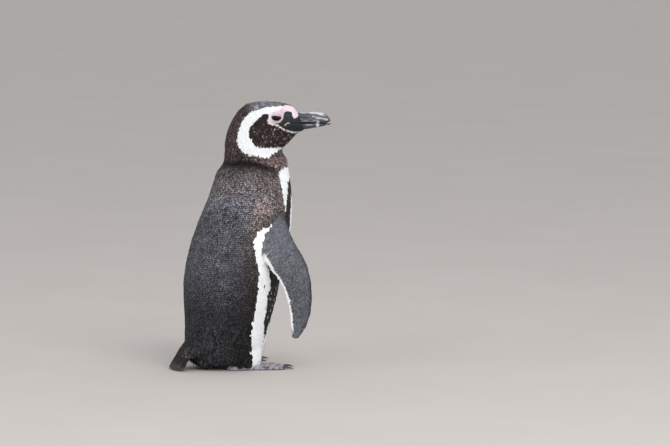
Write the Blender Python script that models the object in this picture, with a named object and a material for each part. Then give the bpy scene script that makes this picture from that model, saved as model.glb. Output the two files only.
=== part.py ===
"""A standing Magellanic penguin, life size, parted into the solids a person would name.

Sizes are in millimetres. The bird is described by three numbers: f forward from its body axis,
r out to its right and z up from the floor. It faces -Y, so its right side is at -X.
"""

import math

import bmesh
import bpy
from mathutils import Matrix, Vector

MM = 0.001
GAP = 0.3  # clearance left between two touching pieces
ORIGIN_F = 25.8  # body axis to the middle of the bounding box
FLOOR = 0.0

# Carriage of the head
NECK_AXIS_F = 44.5
HEAD_TURN = math.radians(25.0)
TURN_FROM_Z = 293.0
TURN_TO_Z = 361.0

# Where the body is parted, as heights over the neck axis and slopes along f
NECK_BASE_Z = 320.0
NECK_BASE_SLOPE = -0.10
HEAD_BASE_Z = 364.5
HEAD_BASE_SLOPE = -0.09

BODY_SIDES = 32

# Belly point (f, z), back point (f, z), half width and the share of the way from belly to back
# at which the section is widest. The stations run from the rump, up the neck and round to the face.
BODY_STATIONS = (
    ((12.0, 11.5), (-38.0, 5.5), 31.0, 0.50),
    ((33.0, 13.8), (-60.0, 7.5), 48.5, 0.50),
    ((46.5, 19.0), (-70.0, 14.0), 59.0, 0.50),
    ((55.5, 28.5), (-77.0, 26.0), 66.5, 0.50),
    ((61.0, 45.0), (-79.0, 45.0), 71.5, 0.50),
    ((68.0, 78.0), (-78.0, 78.0), 76.0, 0.50),
    ((76.5, 111.0), (-79.4, 111.0), 81.0, 0.50),
    ((83.5, 145.0), (-79.5, 145.0), 84.5, 0.50),
    ((92.0, 178.0), (-74.0, 178.0), 86.0, 0.50),
    ((100.0, 211.0), (-65.0, 211.0), 85.5, 0.50),
    ((104.8, 243.0), (-52.0, 245.0), 81.5, 0.50),
    ((106.0, 275.0), (-37.5, 278.0), 74.5, 0.49),
    ((104.6, 305.0), (-26.0, 311.0), 65.0, 0.48),
    ((102.9, 321.0), (-20.8, 327.0), 57.8, 0.48),
    ((101.6, 330.0), (-12.6, 336.5), 52.8, 0.48),
    ((99.5, 339.0), (-8.2, 344.5), 48.4, 0.48),
    ((96.0, 348.0), (-7.8, 355.0), 44.0, 0.48),
    ((91.5, 356.5), (-7.0, 366.0), 41.0, 0.48),
    ((90.5, 363.0), (-5.6, 378.0), 38.0, 0.49),
    ((95.5, 368.5), (-2.8, 391.0), 35.5, 0.50),
    ((103.0, 375.0), (1.8, 403.5), 33.5, 0.51),
    ((110.0, 382.5), (8.6, 416.8), 31.2, 0.52),
    ((115.5, 388.5), (17.5, 429.5), 29.2, 0.53),
    ((120.0, 392.0), (31.0, 440.0), 26.4, 0.53),
    ((123.8, 393.6), (48.0, 443.8), 23.4, 0.52),
    ((126.4, 394.6), (67.0, 444.4), 20.2, 0.50),
    ((127.6, 395.2), (84.0, 443.6), 17.0, 0.47),
    ((127.6, 396.4), (98.0, 440.6), 14.2, 0.45),
    ((126.4, 398.6), (108.6, 435.8), 11.8, 0.43),
    ((124.0, 402.0), (115.2, 427.8), 9.4, 0.45),
)

# Eyes
EYE_F = 80.3
EYE_Z = 416.0
EYE_R = 17.6
EYE_RADIUS = 11.0

# Bill: lower point (f, z), upper point (f, z), half width, widest share
UPPER_BILL = (
    ((103.0, 407.6), (103.0, 421.6), 6.8, 0.30),
    ((114.5, 406.9), (115.0, 424.6), 7.7, 0.32),
    ((124.5, 406.6), (124.5, 425.6), 7.4, 0.32),
    ((136.5, 406.6), (136.5, 426.1), 6.9, 0.34),
    ((148.5, 406.6), (148.5, 425.6), 6.3, 0.36),
    ((156.5, 406.1), (157.0, 424.6), 5.7, 0.38),
    ((161.5, 405.0), (164.4, 421.4), 4.8, 0.42),
    ((165.0, 404.0), (169.2, 416.0), 3.6, 0.45),
    ((167.4, 403.7), (171.6, 410.6), 2.2, 0.50),
    ((169.4, 403.9), (171.2, 406.6), 1.0, 0.50),
)
LOWER_BILL = (
    ((103.0, 395.6), (103.0, 406.9), 6.4, 0.60),
    ((116.5, 395.4), (116.5, 406.3), 7.2, 0.60),
    ((128.5, 396.3), (128.5, 406.1), 6.6, 0.60),
    ((138.5, 397.9), (138.5, 406.1), 6.0, 0.60),
    ((148.5, 399.7), (148.5, 406.0), 5.2, 0.60),
    ((156.5, 401.2), (156.5, 405.2), 4.2, 0.60),
    ((161.2, 402.3), (161.2, 404.2), 2.6, 0.55),
    ((163.4, 402.8), (163.4, 403.6), 1.2, 0.50),
)
BILL_SIDES = 14

# Flipper: centre (f, r, z), half chord, half thickness
FLIPPER = (
    ((50.0, 50.0, 264.0), 13.0, 9.5),
    ((50.5, 68.0, 248.5), 19.5, 11.5),
    ((45.5, 83.0, 229.0), 25.0, 10.0),
    ((44.8, 89.5, 213.5), 29.4, 8.6),
    ((49.6, 94.5, 197.5), 30.0, 7.4),
    ((58.5, 98.5, 183.0), 29.2, 6.6),
    ((67.5, 102.5, 167.5), 27.4, 6.0),
    ((74.0, 107.0, 145.0), 24.6, 5.2),
    ((77.0, 110.5, 122.5), 21.6, 4.6),
    ((76.0, 113.5, 101.0), 18.6, 4.0),
    ((72.0, 116.0, 81.0), 14.6, 3.4),
    ((67.0, 117.5, 67.5), 9.8, 2.6),
    ((63.5, 118.5, 57.5), 4.0, 1.5),
)
FLIPPER_SIDES = 16
FLIPPER_CHORD = Vector((0.955, 0.296, 0.0))  # from the trailing to the leading edge

# Legs and feet
FOOT_R = 42.0
FOOT_SPLAY = math.radians(6.0)
# Feathered leg: centre (f, z), half depth, half width
LEG = (
    ((4.0, 92.0), 26.0, 17.0),
    ((5.0, 74.0), 33.0, 22.0),
    ((7.0, 52.0), 33.0, 23.5),
    ((7.0, 32.0), 31.5, 22.5),
    ((6.5, 16.0), 31.0, 21.5),
    ((6.0, 5.5), 28.5, 17.5),
)
LEG_SIDES = 15
ANKLE_F = 2.0
ANKLE = ((3.0, 16.0, 12.0), (14.0, 14.5, 11.0), (26.0, 12.0, 9.0))  # z, half depth, half width
HEEL_F = -24.0
TOE_ROOT_F = 7.0
FOOT_ROOT_HALF = 13.0
# Toes, inner to outer: angle from straight ahead (positive outward), length, height at the root
TOES = (
    (math.radians(-21.0), 58.0, 9.6),
    (math.radians(0.0), 75.0, 11.0),
    (math.radians(19.0), 69.0, 10.2),
)
WEB_LENGTH = 53.0
WEB_HEIGHT = 2.8
TOE_SPREAD = math.radians(4.2)
FAN_MARGIN = math.radians(5.0)
CLAW_LENGTH = 19.0
CLAW_HALF = 2.6
HALLUX_LENGTH = 13.0

# Tail: centre (f, z), half width, half thickness
TAIL = (
    ((-52.0, 58.0), 24.0, 15.0),
    ((-66.0, 44.0), 28.0, 14.0),
    ((-80.0, 28.5), 27.5, 11.0),
    ((-92.0, 14.0), 25.0, 7.5),
    ((-100.5, 5.0), 21.0, 5.0),
    ((-107.0, 2.2), 14.0, 3.2),
)
TAIL_SIDES = 16


# ---------------------------------------------------------------- placing

def smooth_step(value, low, high):
    """0 below low, 1 above high, eased between."""
    share = min(max((value - low) / (high - low), 0.0), 1.0)
    return share * share * (3.0 - 2.0 * share)


def place(f, r, z):
    """A point of the bird in the world's metres."""
    return Vector((-r, ORIGIN_F - f, z)) * MM


def place_turned(f, r, z):
    """The same, with the neck and head turned to the bird's right."""
    angle = HEAD_TURN * smooth_step(z, TURN_FROM_Z, TURN_TO_Z)
    ahead = f - NECK_AXIS_F
    turned_f = NECK_AXIS_F + ahead * math.cos(angle) - r * math.sin(angle)
    turned_r = ahead * math.sin(angle) + r * math.cos(angle)
    return place(turned_f, turned_r, z)


def flat(station):
    """A station's numbers as one flat tuple."""
    numbers = []
    for item in station:
        if isinstance(item, tuple):
            numbers.extend(flat(item))
        else:
            numbers.append(item)
    return tuple(numbers)


# ---------------------------------------------------------------- solids

def material(name, colour, roughness):
    """A plain coloured material."""
    made = bpy.data.materials.new(name)
    made.use_nodes = True
    shader = made.node_tree.nodes["Principled BSDF"]
    shader.inputs["Base Color"].default_value = (*colour, 1.0)
    shader.inputs["Roughness"].default_value = roughness
    shader.inputs["Metallic"].default_value = 0.0
    made.diffuse_color = (*colour, 1.0)
    return made


def new_object(name, mesh, group):
    """An object of this mesh in the group."""
    obj = bpy.data.objects.new(name, mesh)
    group.objects.link(obj)
    return obj


def loft(name, rings, group):
    """A closed solid through rings of equal count, with a fan at each end."""
    bm = bmesh.new()
    rows = [[bm.verts.new(point) for point in ring] for ring in rings]
    for lower, upper in zip(rows, rows[1:]):
        for index in range(len(lower)):
            after = (index + 1) % len(lower)
            bm.faces.new((lower[index], lower[after], upper[after], upper[index]))
    for row, turn in ((rows[0], -1), (rows[-1], 1)):
        middle = bm.verts.new(sum((vert.co for vert in row), Vector()) / len(row))
        for index in range(len(row)):
            after = (index + 1) % len(row)
            bm.faces.new((row[index], row[after], middle)[::turn])
    return finish_mesh(name, bm, group)


def finish_mesh(name, bm, group):
    """The bmesh as an object with its faces turned outward."""
    bmesh.ops.recalc_face_normals(bm, faces=bm.faces)
    mesh = bpy.data.meshes.new(name)
    bm.to_mesh(mesh)
    bm.free()
    return new_object(name, mesh, group)


def profile_ring(row, sides, put):
    """A ring across the (f, z) plane between a lower and an upper point, symmetrical in r."""
    low_f, low_z, high_f, high_z, half_width, widest = row
    power = math.log(widest) / math.log(0.5)
    ring = []
    for index in range(sides):
        angle = 2 * math.pi * index / sides
        share = ((1.0 - math.cos(angle)) / 2.0) ** power
        ring.append(put(
            low_f + (high_f - low_f) * share,
            half_width * math.sin(angle),
            low_z + (high_z - low_z) * share,
        ))
    return ring


def grown(source, amount, group):
    """A copy of a solid with its surface moved outward."""
    bm = bmesh.new()
    bm.from_mesh(source.data)
    bm.normal_update()
    moves = [(vert, vert.normal * amount * MM) for vert in bm.verts]
    for vert, move in moves:
        vert.co += move
    return finish_mesh(source.name + "_room", bm, group)


def combine(target, tool, operation):
    """Joins, cuts or keeps the part inside the tool, and bakes the result into the target."""
    modifier = target.modifiers.new("cut", "BOOLEAN")
    modifier.object = tool
    modifier.operation = operation
    modifier.solver = "EXACT"
    bpy.context.view_layer.update()
    graph = bpy.context.evaluated_depsgraph_get()
    mesh = bpy.data.meshes.new_from_object(target.evaluated_get(graph))
    target.modifiers.clear()
    old = target.data
    target.data = mesh
    bpy.data.meshes.remove(old)


def slab(name, low_z, high_z, low_slope, high_slope, group):
    """A block between two planes given by their height at the neck axis and their slope along f."""
    reach = 400.0
    rings = []
    for z, slope in ((low_z, low_slope), (high_z, high_slope)):
        rings.append([
            place(NECK_AXIS_F + f, r, z + slope * f)
            for f, r in ((-reach, -reach), (reach, -reach), (reach, reach), (-reach, reach))
        ])
    return loft(name, rings, group)


def sphere(name, centre, radius, group):
    """A ball of square patches."""
    bm = bmesh.new()
    bmesh.ops.create_uvsphere(bm, u_segments=16, v_segments=8, radius=radius * MM)
    bmesh.ops.rotate(bm, cent=(0, 0, 0), matrix=Matrix.Rotation(math.pi / 2, 3, "Y"), verts=bm.verts)
    bmesh.ops.translate(bm, vec=centre, verts=bm.verts)
    return finish_mesh(name, bm, group)


# ---------------------------------------------------------------- body

def build_body(group):
    """Trunk, neck and head as one solid."""
    rings = [profile_ring(flat(station), BODY_SIDES, place_turned) for station in BODY_STATIONS]
    return loft("body", rings, group)


def part_body(whole, group, tools):
    """The whole body kept between the planes of the neck, as trunk, neck and head."""
    half = GAP / 2.0
    spans = {
        "trunk": (-200.0, NECK_BASE_Z - half, 0.0, NECK_BASE_SLOPE),
        "neck": (NECK_BASE_Z + half, HEAD_BASE_Z - half, NECK_BASE_SLOPE, HEAD_BASE_SLOPE),
        "head": (HEAD_BASE_Z + half, 700.0, HEAD_BASE_SLOPE, 0.0),
    }
    pieces = {}
    for name, (low, high, low_slope, high_slope) in spans.items():
        block = slab(name + "_span", low, high, low_slope, high_slope, tools)
        piece = new_object(name, whole.data.copy(), group)
        combine(piece, block, "INTERSECT")
        pieces[name] = piece
    return pieces


def build_bill(name, stations, group):
    """One half of the bill."""
    return loft(name, [profile_ring(flat(station), BILL_SIDES, place_turned) for station in stations], group)


# ---------------------------------------------------------------- flippers

def build_flipper(name, side, group):
    """A flipper: lens-shaped sections along a bowed line, thickest a third back from its leading edge."""
    rows = [flat(station) for station in FLIPPER]
    centres = [Vector(row[:3]) for row in rows]
    rings = []
    for index, row in enumerate(rows):
        before = centres[max(index - 1, 0)]
        after = centres[min(index + 1, len(rows) - 1)]
        along = (after - before).normalized()
        chord = (FLIPPER_CHORD - along * FLIPPER_CHORD.dot(along)).normalized()
        out = chord.cross(along).normalized()
        ring = []
        for step in range(FLIPPER_SIDES):
            angle = 2 * math.pi * step / FLIPPER_SIDES
            thickness = row[4] * math.sin(angle) * (1.0 + 0.35 * math.cos(angle))
            point = centres[index] + chord * row[3] * math.cos(angle) + out * thickness
            ring.append(place(point.x, point.y * side, point.z))
        rings.append(ring)
    return loft(name, rings, group)


# ---------------------------------------------------------------- legs and feet

def toe_share(angle):
    """1 on the line of a toe, falling to 0 over the web between two toes, with the nearest toe."""
    nearest = min(TOES, key=lambda toe: abs(toe[0] - angle))
    return math.exp(-((angle - nearest[0]) / TOE_SPREAD) ** 2), nearest


def foot_place(ahead, out, z, side):
    """A point of a foot from its own axis, turned outward by its splay."""
    f = ahead * math.cos(FOOT_SPLAY) - out * math.sin(FOOT_SPLAY)
    r = ahead * math.sin(FOOT_SPLAY) + out * math.cos(FOOT_SPLAY)
    return place(f, side * (FOOT_R + r), z)


def foot_column(angle, first, last):
    """Points (ahead, out, height) of the foot's upper face from its heel to the end along one angle."""
    share, toe = toe_share(angle)
    across = (angle - first) / (last - first) * 2.0 - 1.0
    length = WEB_LENGTH + (toe[1] - WEB_LENGTH) * share ** 1.4
    edge = math.sqrt(max(1.0 - across ** 2, 0.0))
    column = []
    for back in (1.0, 0.62, 0.25):
        round_off = math.sqrt(max(1.0 - (back * 0.98) ** 2, 0.0)) ** 0.5
        ahead = TOE_ROOT_F - 3.0 + (HEEL_F - TOE_ROOT_F + 3.0) * back * (0.72 + 0.28 * edge)
        column.append((ahead, FOOT_ROOT_HALF * across * (0.62 + 0.38 * round_off), 3.0 + 8.0 * edge * round_off))
    for along in (0.0, 0.12, 0.25, 0.4, 0.55, 0.7, 0.84, 0.94, 1.0):
        ahead = TOE_ROOT_F + length * along * math.cos(angle)
        out = FOOT_ROOT_HALF * across * (1.0 - along * 0.75) + length * along * math.sin(angle)
        root = 1.0 - smooth_step(along, 0.0, 0.35)
        ridge = (toe[2] - WEB_HEIGHT) * (1.0 - 0.42 * along) * (share + (1.0 - share) * root * 0.8)
        tip = 1.0 - 0.45 * smooth_step(along, 0.86, 1.0)
        edge_drop = 0.45 + 0.55 * smooth_step(1.0 - abs(across), 0.0, 0.16)
        column.append((ahead, out, (WEB_HEIGHT + ridge) * tip * edge_drop))
    return column


def build_foot(name, side, group, tools):
    """A webbed foot with three front toes, its hallux and the stub of its ankle, and the room each takes."""
    first = TOES[0][0] - FAN_MARGIN
    last = TOES[-1][0] + FAN_MARGIN
    count = 15
    columns = [foot_column(first + (last - first) * index / count, first, last) for index in range(count + 1)]
    bm = bmesh.new()
    upper = [[bm.verts.new(foot_place(a, o, max(h, 1.0), side)) for a, o, h in column] for column in columns]
    rows = len(columns[0])
    for i in range(count):
        for j in range(rows - 1):
            bm.faces.new((upper[i][j], upper[i + 1][j], upper[i + 1][j + 1], upper[i][j + 1]))
    border = [(i, 0) for i in range(count)] + [(count, j) for j in range(rows - 1)]
    border += [(i, rows - 1) for i in range(count, 0, -1)] + [(0, j) for j in range(rows - 1, 0, -1)]
    sole = [bm.verts.new(foot_place(columns[i][j][0], columns[i][j][1], FLOOR, side)) for i, j in border]
    bm.faces.new(sole)
    for index, (i, j) in enumerate(border):
        after = (index + 1) % len(border)
        k, m = border[after]
        bm.faces.new((upper[i][j], sole[index], sole[after], upper[k][m]))
    foot = finish_mesh(name, bm, group)
    stub = loft(name + "_ankle", [oval(ANKLE_F, FOOT_R, z, depth, width, 12, side) for z, depth, width in ANKLE], tools)
    hallux = loft(name + "_hallux", hallux_rings(side), tools)
    rooms = [grown(piece, 2 * GAP, tools) for piece in (foot, stub, hallux)]
    combine(foot, stub, "UNION")
    combine(foot, hallux, "UNION")
    return foot, rooms


def oval(f, r, z, half_depth, half_width, sides, side):
    """A level oval ring."""
    ring = []
    for index in range(sides):
        angle = 2 * math.pi * index / sides
        ring.append(place(f + half_depth * math.cos(angle), side * (r + half_width * math.sin(angle)), z))
    return ring


def tube_rings(points, radii, squash, sides, side):
    """Round rings of these radii across a line of (ahead, out, z) points of a foot."""
    rings = []
    for index, (point, radius) in enumerate(zip(points, radii)):
        before = Vector(points[max(index - 1, 0)])
        after = Vector(points[min(index + 1, len(points) - 1)])
        along = (after - before).normalized()
        across = Vector((0.0, 0.0, 1.0)).cross(along).normalized()
        up = along.cross(across)
        ring = []
        for step in range(sides):
            angle = 2 * math.pi * step / sides
            spot = Vector(point) + across * radius * math.cos(angle) + up * radius * squash * math.sin(angle)
            ring.append(foot_place(spot.x, spot.y, spot.z, side))
        rings.append(ring)
    return rings


def hallux_line():
    """Root and end (ahead, out, z) of the small inner toe."""
    return (Vector((-8.0, -8.0, 6.0)), Vector((-8.0 + HALLUX_LENGTH * 0.72, -8.0 - HALLUX_LENGTH * 0.7, 4.4)))


def hallux_rings(side):
    """The hallux as a small tapering toe."""
    root, end = hallux_line()
    shares = (0.0, 0.35, 0.7, 0.92, 1.0)
    points = [tuple(root.lerp(end, share)) for share in shares]
    return tube_rings(points, (4.2, 4.0, 3.6, 3.0, 1.9), 0.9, 10, side)


def claw_rings(root, heading, length, half, side):
    """A curved, tapering claw that starts inside its toe."""
    points = []
    radii = []
    for share, size in ((0.0, 0.85), (0.22, 1.0), (0.48, 0.86), (0.74, 0.58), (0.92, 0.30), (1.0, 0.14)):
        run = length * share
        arch = 1.5 * math.sin(math.pi * min(share * 0.95, 1.0))
        drop = root[2] * share ** 1.5 * 0.62
        points.append((
            root[0] + run * math.cos(heading),
            root[1] + run * math.sin(heading),
            max(root[2] + arch - drop, half * size * 0.95 + 0.4),
        ))
        radii.append(half * size)
    return tube_rings(points, radii, 0.95, 7, side)


def build_claws(side, tag, group):
    """The three front claws and the hallux claw of one foot."""
    claws = []
    for name, (angle, length, height) in zip(("inner", "middle", "outer"), TOES):
        out = FOOT_ROOT_HALF * (2.0 * (angle - TOES[0][0] + FAN_MARGIN)
                                / (TOES[-1][0] - TOES[0][0] + 2 * FAN_MARGIN) - 1.0) * 0.33
        reach = length * 0.88
        root = (TOE_ROOT_F + reach * math.cos(angle), out + reach * math.sin(angle), 3.1)
        rings = claw_rings(root, angle * 0.75, CLAW_LENGTH, CLAW_HALF, side)
        claws.append(loft("claw_" + name + "_" + tag, rings, group))
    root, end = hallux_line()
    start = root.lerp(end, 0.86)
    heading = math.atan2(end.y - root.y, end.x - root.x)
    rings = claw_rings(tuple(start), heading, 9.0, 1.8, side)
    claws.append(loft("claw_hallux_" + tag, rings, group))
    return claws


def build_leg(name, side, group):
    """A feathered leg, its upper end inside the trunk."""
    rows = [flat(station) for station in LEG]
    return loft(name, [oval(f, FOOT_R, z, depth, width, LEG_SIDES, side) for f, z, depth, width in rows], group)


# ---------------------------------------------------------------- tail

def build_tail(group, tools):
    """The stiff tail, thinning to a blunt edge that lies on the floor."""
    rows = [flat(station) for station in TAIL]
    centres = [Vector((row[0], 0.0, row[1])) for row in rows]
    rings = []
    for index, (f, z, half_width, half_thickness) in enumerate(rows):
        before = centres[max(index - 1, 0)]
        after = centres[min(index + 1, len(rows) - 1)]
        along = (after - before).normalized()
        up = Vector((0.0, 1.0, 0.0)).cross(along).normalized()
        ring = []
        for step in range(TAIL_SIDES):
            angle = 2 * math.pi * step / TAIL_SIDES
            lift = up * half_thickness * math.sin(angle)
            ring.append(place(f + lift.x, half_width * math.cos(angle), z + lift.z))
        rings.append(ring)
    tail = loft("tail", rings, group)
    combine(tail, slab("above_floor", FLOOR, 300.0, 0.0, 0.0, tools), "INTERSECT")
    return tail


# ---------------------------------------------------------------- assembly

def clear():
    """Empties the file of whatever it starts with."""
    for obj in list(bpy.data.objects):
        bpy.data.objects.remove(obj, do_unlink=True)


def make_groups():
    """The collection of the bird and the hidden one of its cutters."""
    scene = bpy.context.scene.collection
    bird = bpy.data.collections.new("penguin")
    tools = bpy.data.collections.new("cutters")
    scene.children.link(bird)
    scene.children.link(tools)
    tools.hide_render = True
    return bird, tools


def smooth(obj):
    """Shades an object smooth."""
    for polygon in obj.data.polygons:
        polygon.use_smooth = True


def main():
    """Builds every solid and leaves a gap where two of them meet."""
    clear()
    bird, tools = make_groups()
    body = build_body(tools)
    pieces = part_body(body, bird, tools)
    trunk = pieces["trunk"]
    neck = pieces["neck"]
    head = pieces["head"]

    bills = [build_bill("bill_upper", UPPER_BILL, bird), build_bill("bill_lower", LOWER_BILL, bird)]
    eyes = []
    for tag, side in (("right", 1), ("left", -1)):
        eyes.append(sphere("eye_" + tag, place_turned(EYE_F, side * EYE_R, EYE_Z), EYE_RADIUS, bird))
    for piece in bills + eyes:
        combine(head, grown(piece, GAP, tools), "DIFFERENCE")

    tail = build_tail(bird, tools)
    combine(trunk, grown(tail, GAP, tools), "DIFFERENCE")

    flippers = []
    legs = []
    feet = []
    claws = []
    for tag, side in (("right", 1), ("left", -1)):
        flipper = build_flipper("flipper_" + tag, side, bird)
        combine(trunk, grown(flipper, GAP, tools), "DIFFERENCE")
        flippers.append(flipper)

        nails = build_claws(side, tag, bird)
        foot, rooms = build_foot("foot_" + tag, side, bird, tools)
        for nail in nails:
            combine(foot, grown(nail, GAP, tools), "DIFFERENCE")
        claws.extend(nails)
        feet.append(foot)

        leg = build_leg("leg_" + tag, side, bird)
        combine(trunk, grown(leg, GAP, tools), "DIFFERENCE")
        for room in rooms:
            combine(leg, room, "DIFFERENCE")
        combine(leg, grown(nails[-1], 2 * GAP, tools), "DIFFERENCE")
        legs.append(leg)

    dark = material("dark_plumage", (0.060, 0.056, 0.060), 0.75)
    brown = material("brown_plumage", (0.085, 0.065, 0.058), 0.75)
    slate = material("flipper_plumage", (0.125, 0.135, 0.155), 0.65)
    white = material("white_plumage", (0.80, 0.80, 0.79), 0.75)
    horn = material("bill_horn", (0.070, 0.070, 0.080), 0.38)
    eye = material("eye", (0.060, 0.015, 0.012), 0.08)
    skin = material("foot_skin", (0.30, 0.27, 0.29), 0.60)
    nail = material("claw_horn", (0.035, 0.032, 0.032), 0.40)
    paint = {dark: [trunk, tail], brown: [neck, head], slate: flippers, white: legs, horn: bills, eye: eyes,
             skin: feet, nail: claws}
    for made, owners in paint.items():
        for obj in owners:
            obj.data.materials.clear()
            obj.data.materials.append(made)
            smooth(obj)
    for tool in tools.objects:
        tool.display_type = "WIRE"
        tool.hide_render = True


main()
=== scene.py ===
"""A standing Magellanic penguin: its skin, plumage, bill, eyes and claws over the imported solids.

Sizes are in millimetres in the bird's own terms: f forward from the body axis, r out to its right
and z up from the floor. It faces -Y. The neck and head are described as if they looked straight
ahead, and to_world turns them to the bird's right. On the head p is f from the neck's axis.
"""

import math
from types import SimpleNamespace

import bmesh
import bpy
import numpy as np
from bpy.props import FloatProperty, FloatVectorProperty, IntProperty, PointerProperty
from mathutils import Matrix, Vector
from mathutils.bvhtree import BVHTree


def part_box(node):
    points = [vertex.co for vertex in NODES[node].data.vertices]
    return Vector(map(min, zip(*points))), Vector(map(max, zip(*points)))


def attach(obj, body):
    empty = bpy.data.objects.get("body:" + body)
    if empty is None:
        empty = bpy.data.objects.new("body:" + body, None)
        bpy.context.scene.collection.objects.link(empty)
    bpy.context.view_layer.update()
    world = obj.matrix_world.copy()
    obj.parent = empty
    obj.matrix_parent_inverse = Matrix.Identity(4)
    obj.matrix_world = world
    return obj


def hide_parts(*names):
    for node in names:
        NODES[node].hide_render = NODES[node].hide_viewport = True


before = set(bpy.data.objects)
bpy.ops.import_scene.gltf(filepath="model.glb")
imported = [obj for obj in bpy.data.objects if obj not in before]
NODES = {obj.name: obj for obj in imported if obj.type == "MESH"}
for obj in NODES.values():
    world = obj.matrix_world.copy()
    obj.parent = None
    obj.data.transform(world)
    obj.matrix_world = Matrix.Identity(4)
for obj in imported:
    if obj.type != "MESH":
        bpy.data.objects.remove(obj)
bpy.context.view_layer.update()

bl_info = {
    "name": "Magellanic Penguin",
    "version": (1, 0, 0),
    "blender": (4, 5, 0),
    "location": "3D View > Sidebar > Penguin",
    "description": "Builds the skin, plumage, bill, eyes and claws of a standing penguin",
    "category": "Object",
}

MM = 0.001
ORIGIN_F = 25.8
NECK_AXIS_F = 44.5
HEAD_TURN = math.radians(25.0)
TURN_FROM_Z = 293.0
TURN_TO_Z = 361.0

SIDES = (("right", 1.0), ("left", -1.0))
# Flesh by region: how far its skin lies under the tips of the coat, and how far the edges left
# between the flat faces of its solid are smoothed away
REGIONS = {
    "trunk": (2.2, 1.0), "neck": (2.0, 0.9), "head": (1.2, 0.30), "tail": (1.8, 0.15),
    "flipper_right": (0.8, 0.16), "flipper_left": (0.8, 0.16),
    "leg_right": (2.0, 0.5), "leg_left": (2.0, 0.5), "foot_right": (0.0, 0.04), "foot_left": (0.0, 0.04),
    "bill_upper": (3.4, 0.1), "bill_lower": (3.4, 0.1),
}
TRUNK, NECK, HEAD, TAIL = range(4)
WINGS, LEGS, FEET = (4, 5), (6, 7), (8, 9)
BILL = 10  # this region and the next
FLESH = tuple(REGIONS)[:BILL]
GROWTH = 0.4  # closes the gaps between the solids before they are fused
BILL_CORE_F = 138.0  # the flesh inside the bill ends here

# A line up the body for the rows of feathers: f, z and the tilt of the section in degrees
BODY_LINE = (
    (-13.0, 9.5, 0.0), (-9.0, 45.0, 0.0), (-1.5, 111.0, 0.0), (9.0, 178.0, 0.0), (26.4, 244.0, 1.0),
    (39.3, 308.0, 3.0), (44.5, 346.0, 4.0), (42.4, 370.5, 9.0), (52.4, 389.0, 16.0), (66.5, 409.0, 23.0),
    (86.0, 418.0, 33.0), (105.8, 418.0, 46.0), (118.0, 414.5, 61.0), (122.0, 411.5, 76.0),
)
# The middle of a flipper from the shoulder to the tip: f, r, z, half chord
FLIPPER_LINE = (
    (50.0, 50.0, 264.0, 13.0), (50.5, 68.0, 248.5, 19.5), (45.2, 83.0, 229.0, 25.0),
    (44.8, 89.5, 213.5, 29.4), (58.5, 98.5, 183.0, 29.2), (67.5, 102.5, 167.5, 27.4),
    (74.0, 107.0, 145.0, 24.6), (77.0, 110.5, 122.5, 21.6), (76.0, 113.5, 101.0, 18.6),
    (72.0, 116.0, 81.0, 14.6), (63.5, 118.5, 57.5, 4.0),
)
FLIPPER_CHORD = np.array((0.955, 0.296, 0.0))
FLIPPER_HALF_THICKNESS = 6.0
LEG_LINE = ((4.0, 92.0), (5.5, 50.0), (5.0, 7.0))
LEG_R = 42.0
TAIL_LINE = ((-52.0, 58.0), (-66.0, 44.0), (-80.0, 28.5), (-92.0, 14.0), (-100.5, 5.5), (-105.0, 3.0))
# Layers of tail quills: how many, the middle one's root and tip as (f, z), and half the fan's width
QUILLS = ((9, (-80.5, 46.0), (-105.0, 6.0), 19.0), (8, (-90.0, 31.0), (-106.0, 4.0), 20.0))

# Edges on the trunk by height: the dark mantle, then the outer and inner edge of the breast band,
# in degrees round from the middle of the belly
MANTLE_EDGE = (
    (333, 46), (324, 56), (310, 61.4), (298, 62.3), (284, 61.7), (273, 58.5), (266, 57), (257, 57),
    (250, 59), (245, 67), (242, 78), (240, 86), (237.5, 92), (231.7, 96.3), (220.8, 98.9), (206, 97.3),
    (198, 95.5), (184, 90.5), (174, 86.3), (160, 83.6), (147, 81.2), (138, 80.3), (121, 80), (106, 80),
    (82, 79.8), (60, 79.3), (46, 77.5), (33, 75.5), (22, 74.5), (14, 74), (5, 72),
)
BAND_OUTER = (
    (311, 39.4), (300, 48.7), (287, 52.2), (275, 54.5), (262, 56), (240, 60), (220, 64), (200, 68.5),
    (185, 71), (172, 71), (160, 67), (149, 62.8), (139, 59), (131, 60.4), (121, 61.7), (112, 59.5),
    (105, 62.5), (97, 59.5), (80, 58), (68, 55.7), (54, 51.6), (46, 47),
)
BAND_INNER = (
    (308, 39), (285, 38), (262, 40), (230, 38), (200, 33), (165, 30), (137, 28), (123, 30), (106, 36),
    (86, 35.5), (79, 39), (72, 43.5), (58, 45), (50, 51),
)
COLLAR_TOP = 333.8
BAND_TOP = 318.0
BELLY_TOP = 292.0
# Height of the fold under the neck's plumage by degrees round from the belly
NECK_FOLD = (
    (0, 329), (45, 330), (60, 335), (73, 341), (86, 345), (100, 347.5), (125, 346.5), (164, 343.5),
    (180, 343),
)
# Small dark spots on the white: height, degrees, radius
SPOTS = (
    (141, 71.0, 1.7), (208, 20, 2.2), (176, -14, 2.6), (150, 9, 2.0), (226, -22, 2.0), (118, -20, 2.4),
    (96, 16, 2.0), (190, 5, 1.8), (240, 12, 1.9), (112, -73, 2.2), (142, -76, 2.0),
)

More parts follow.
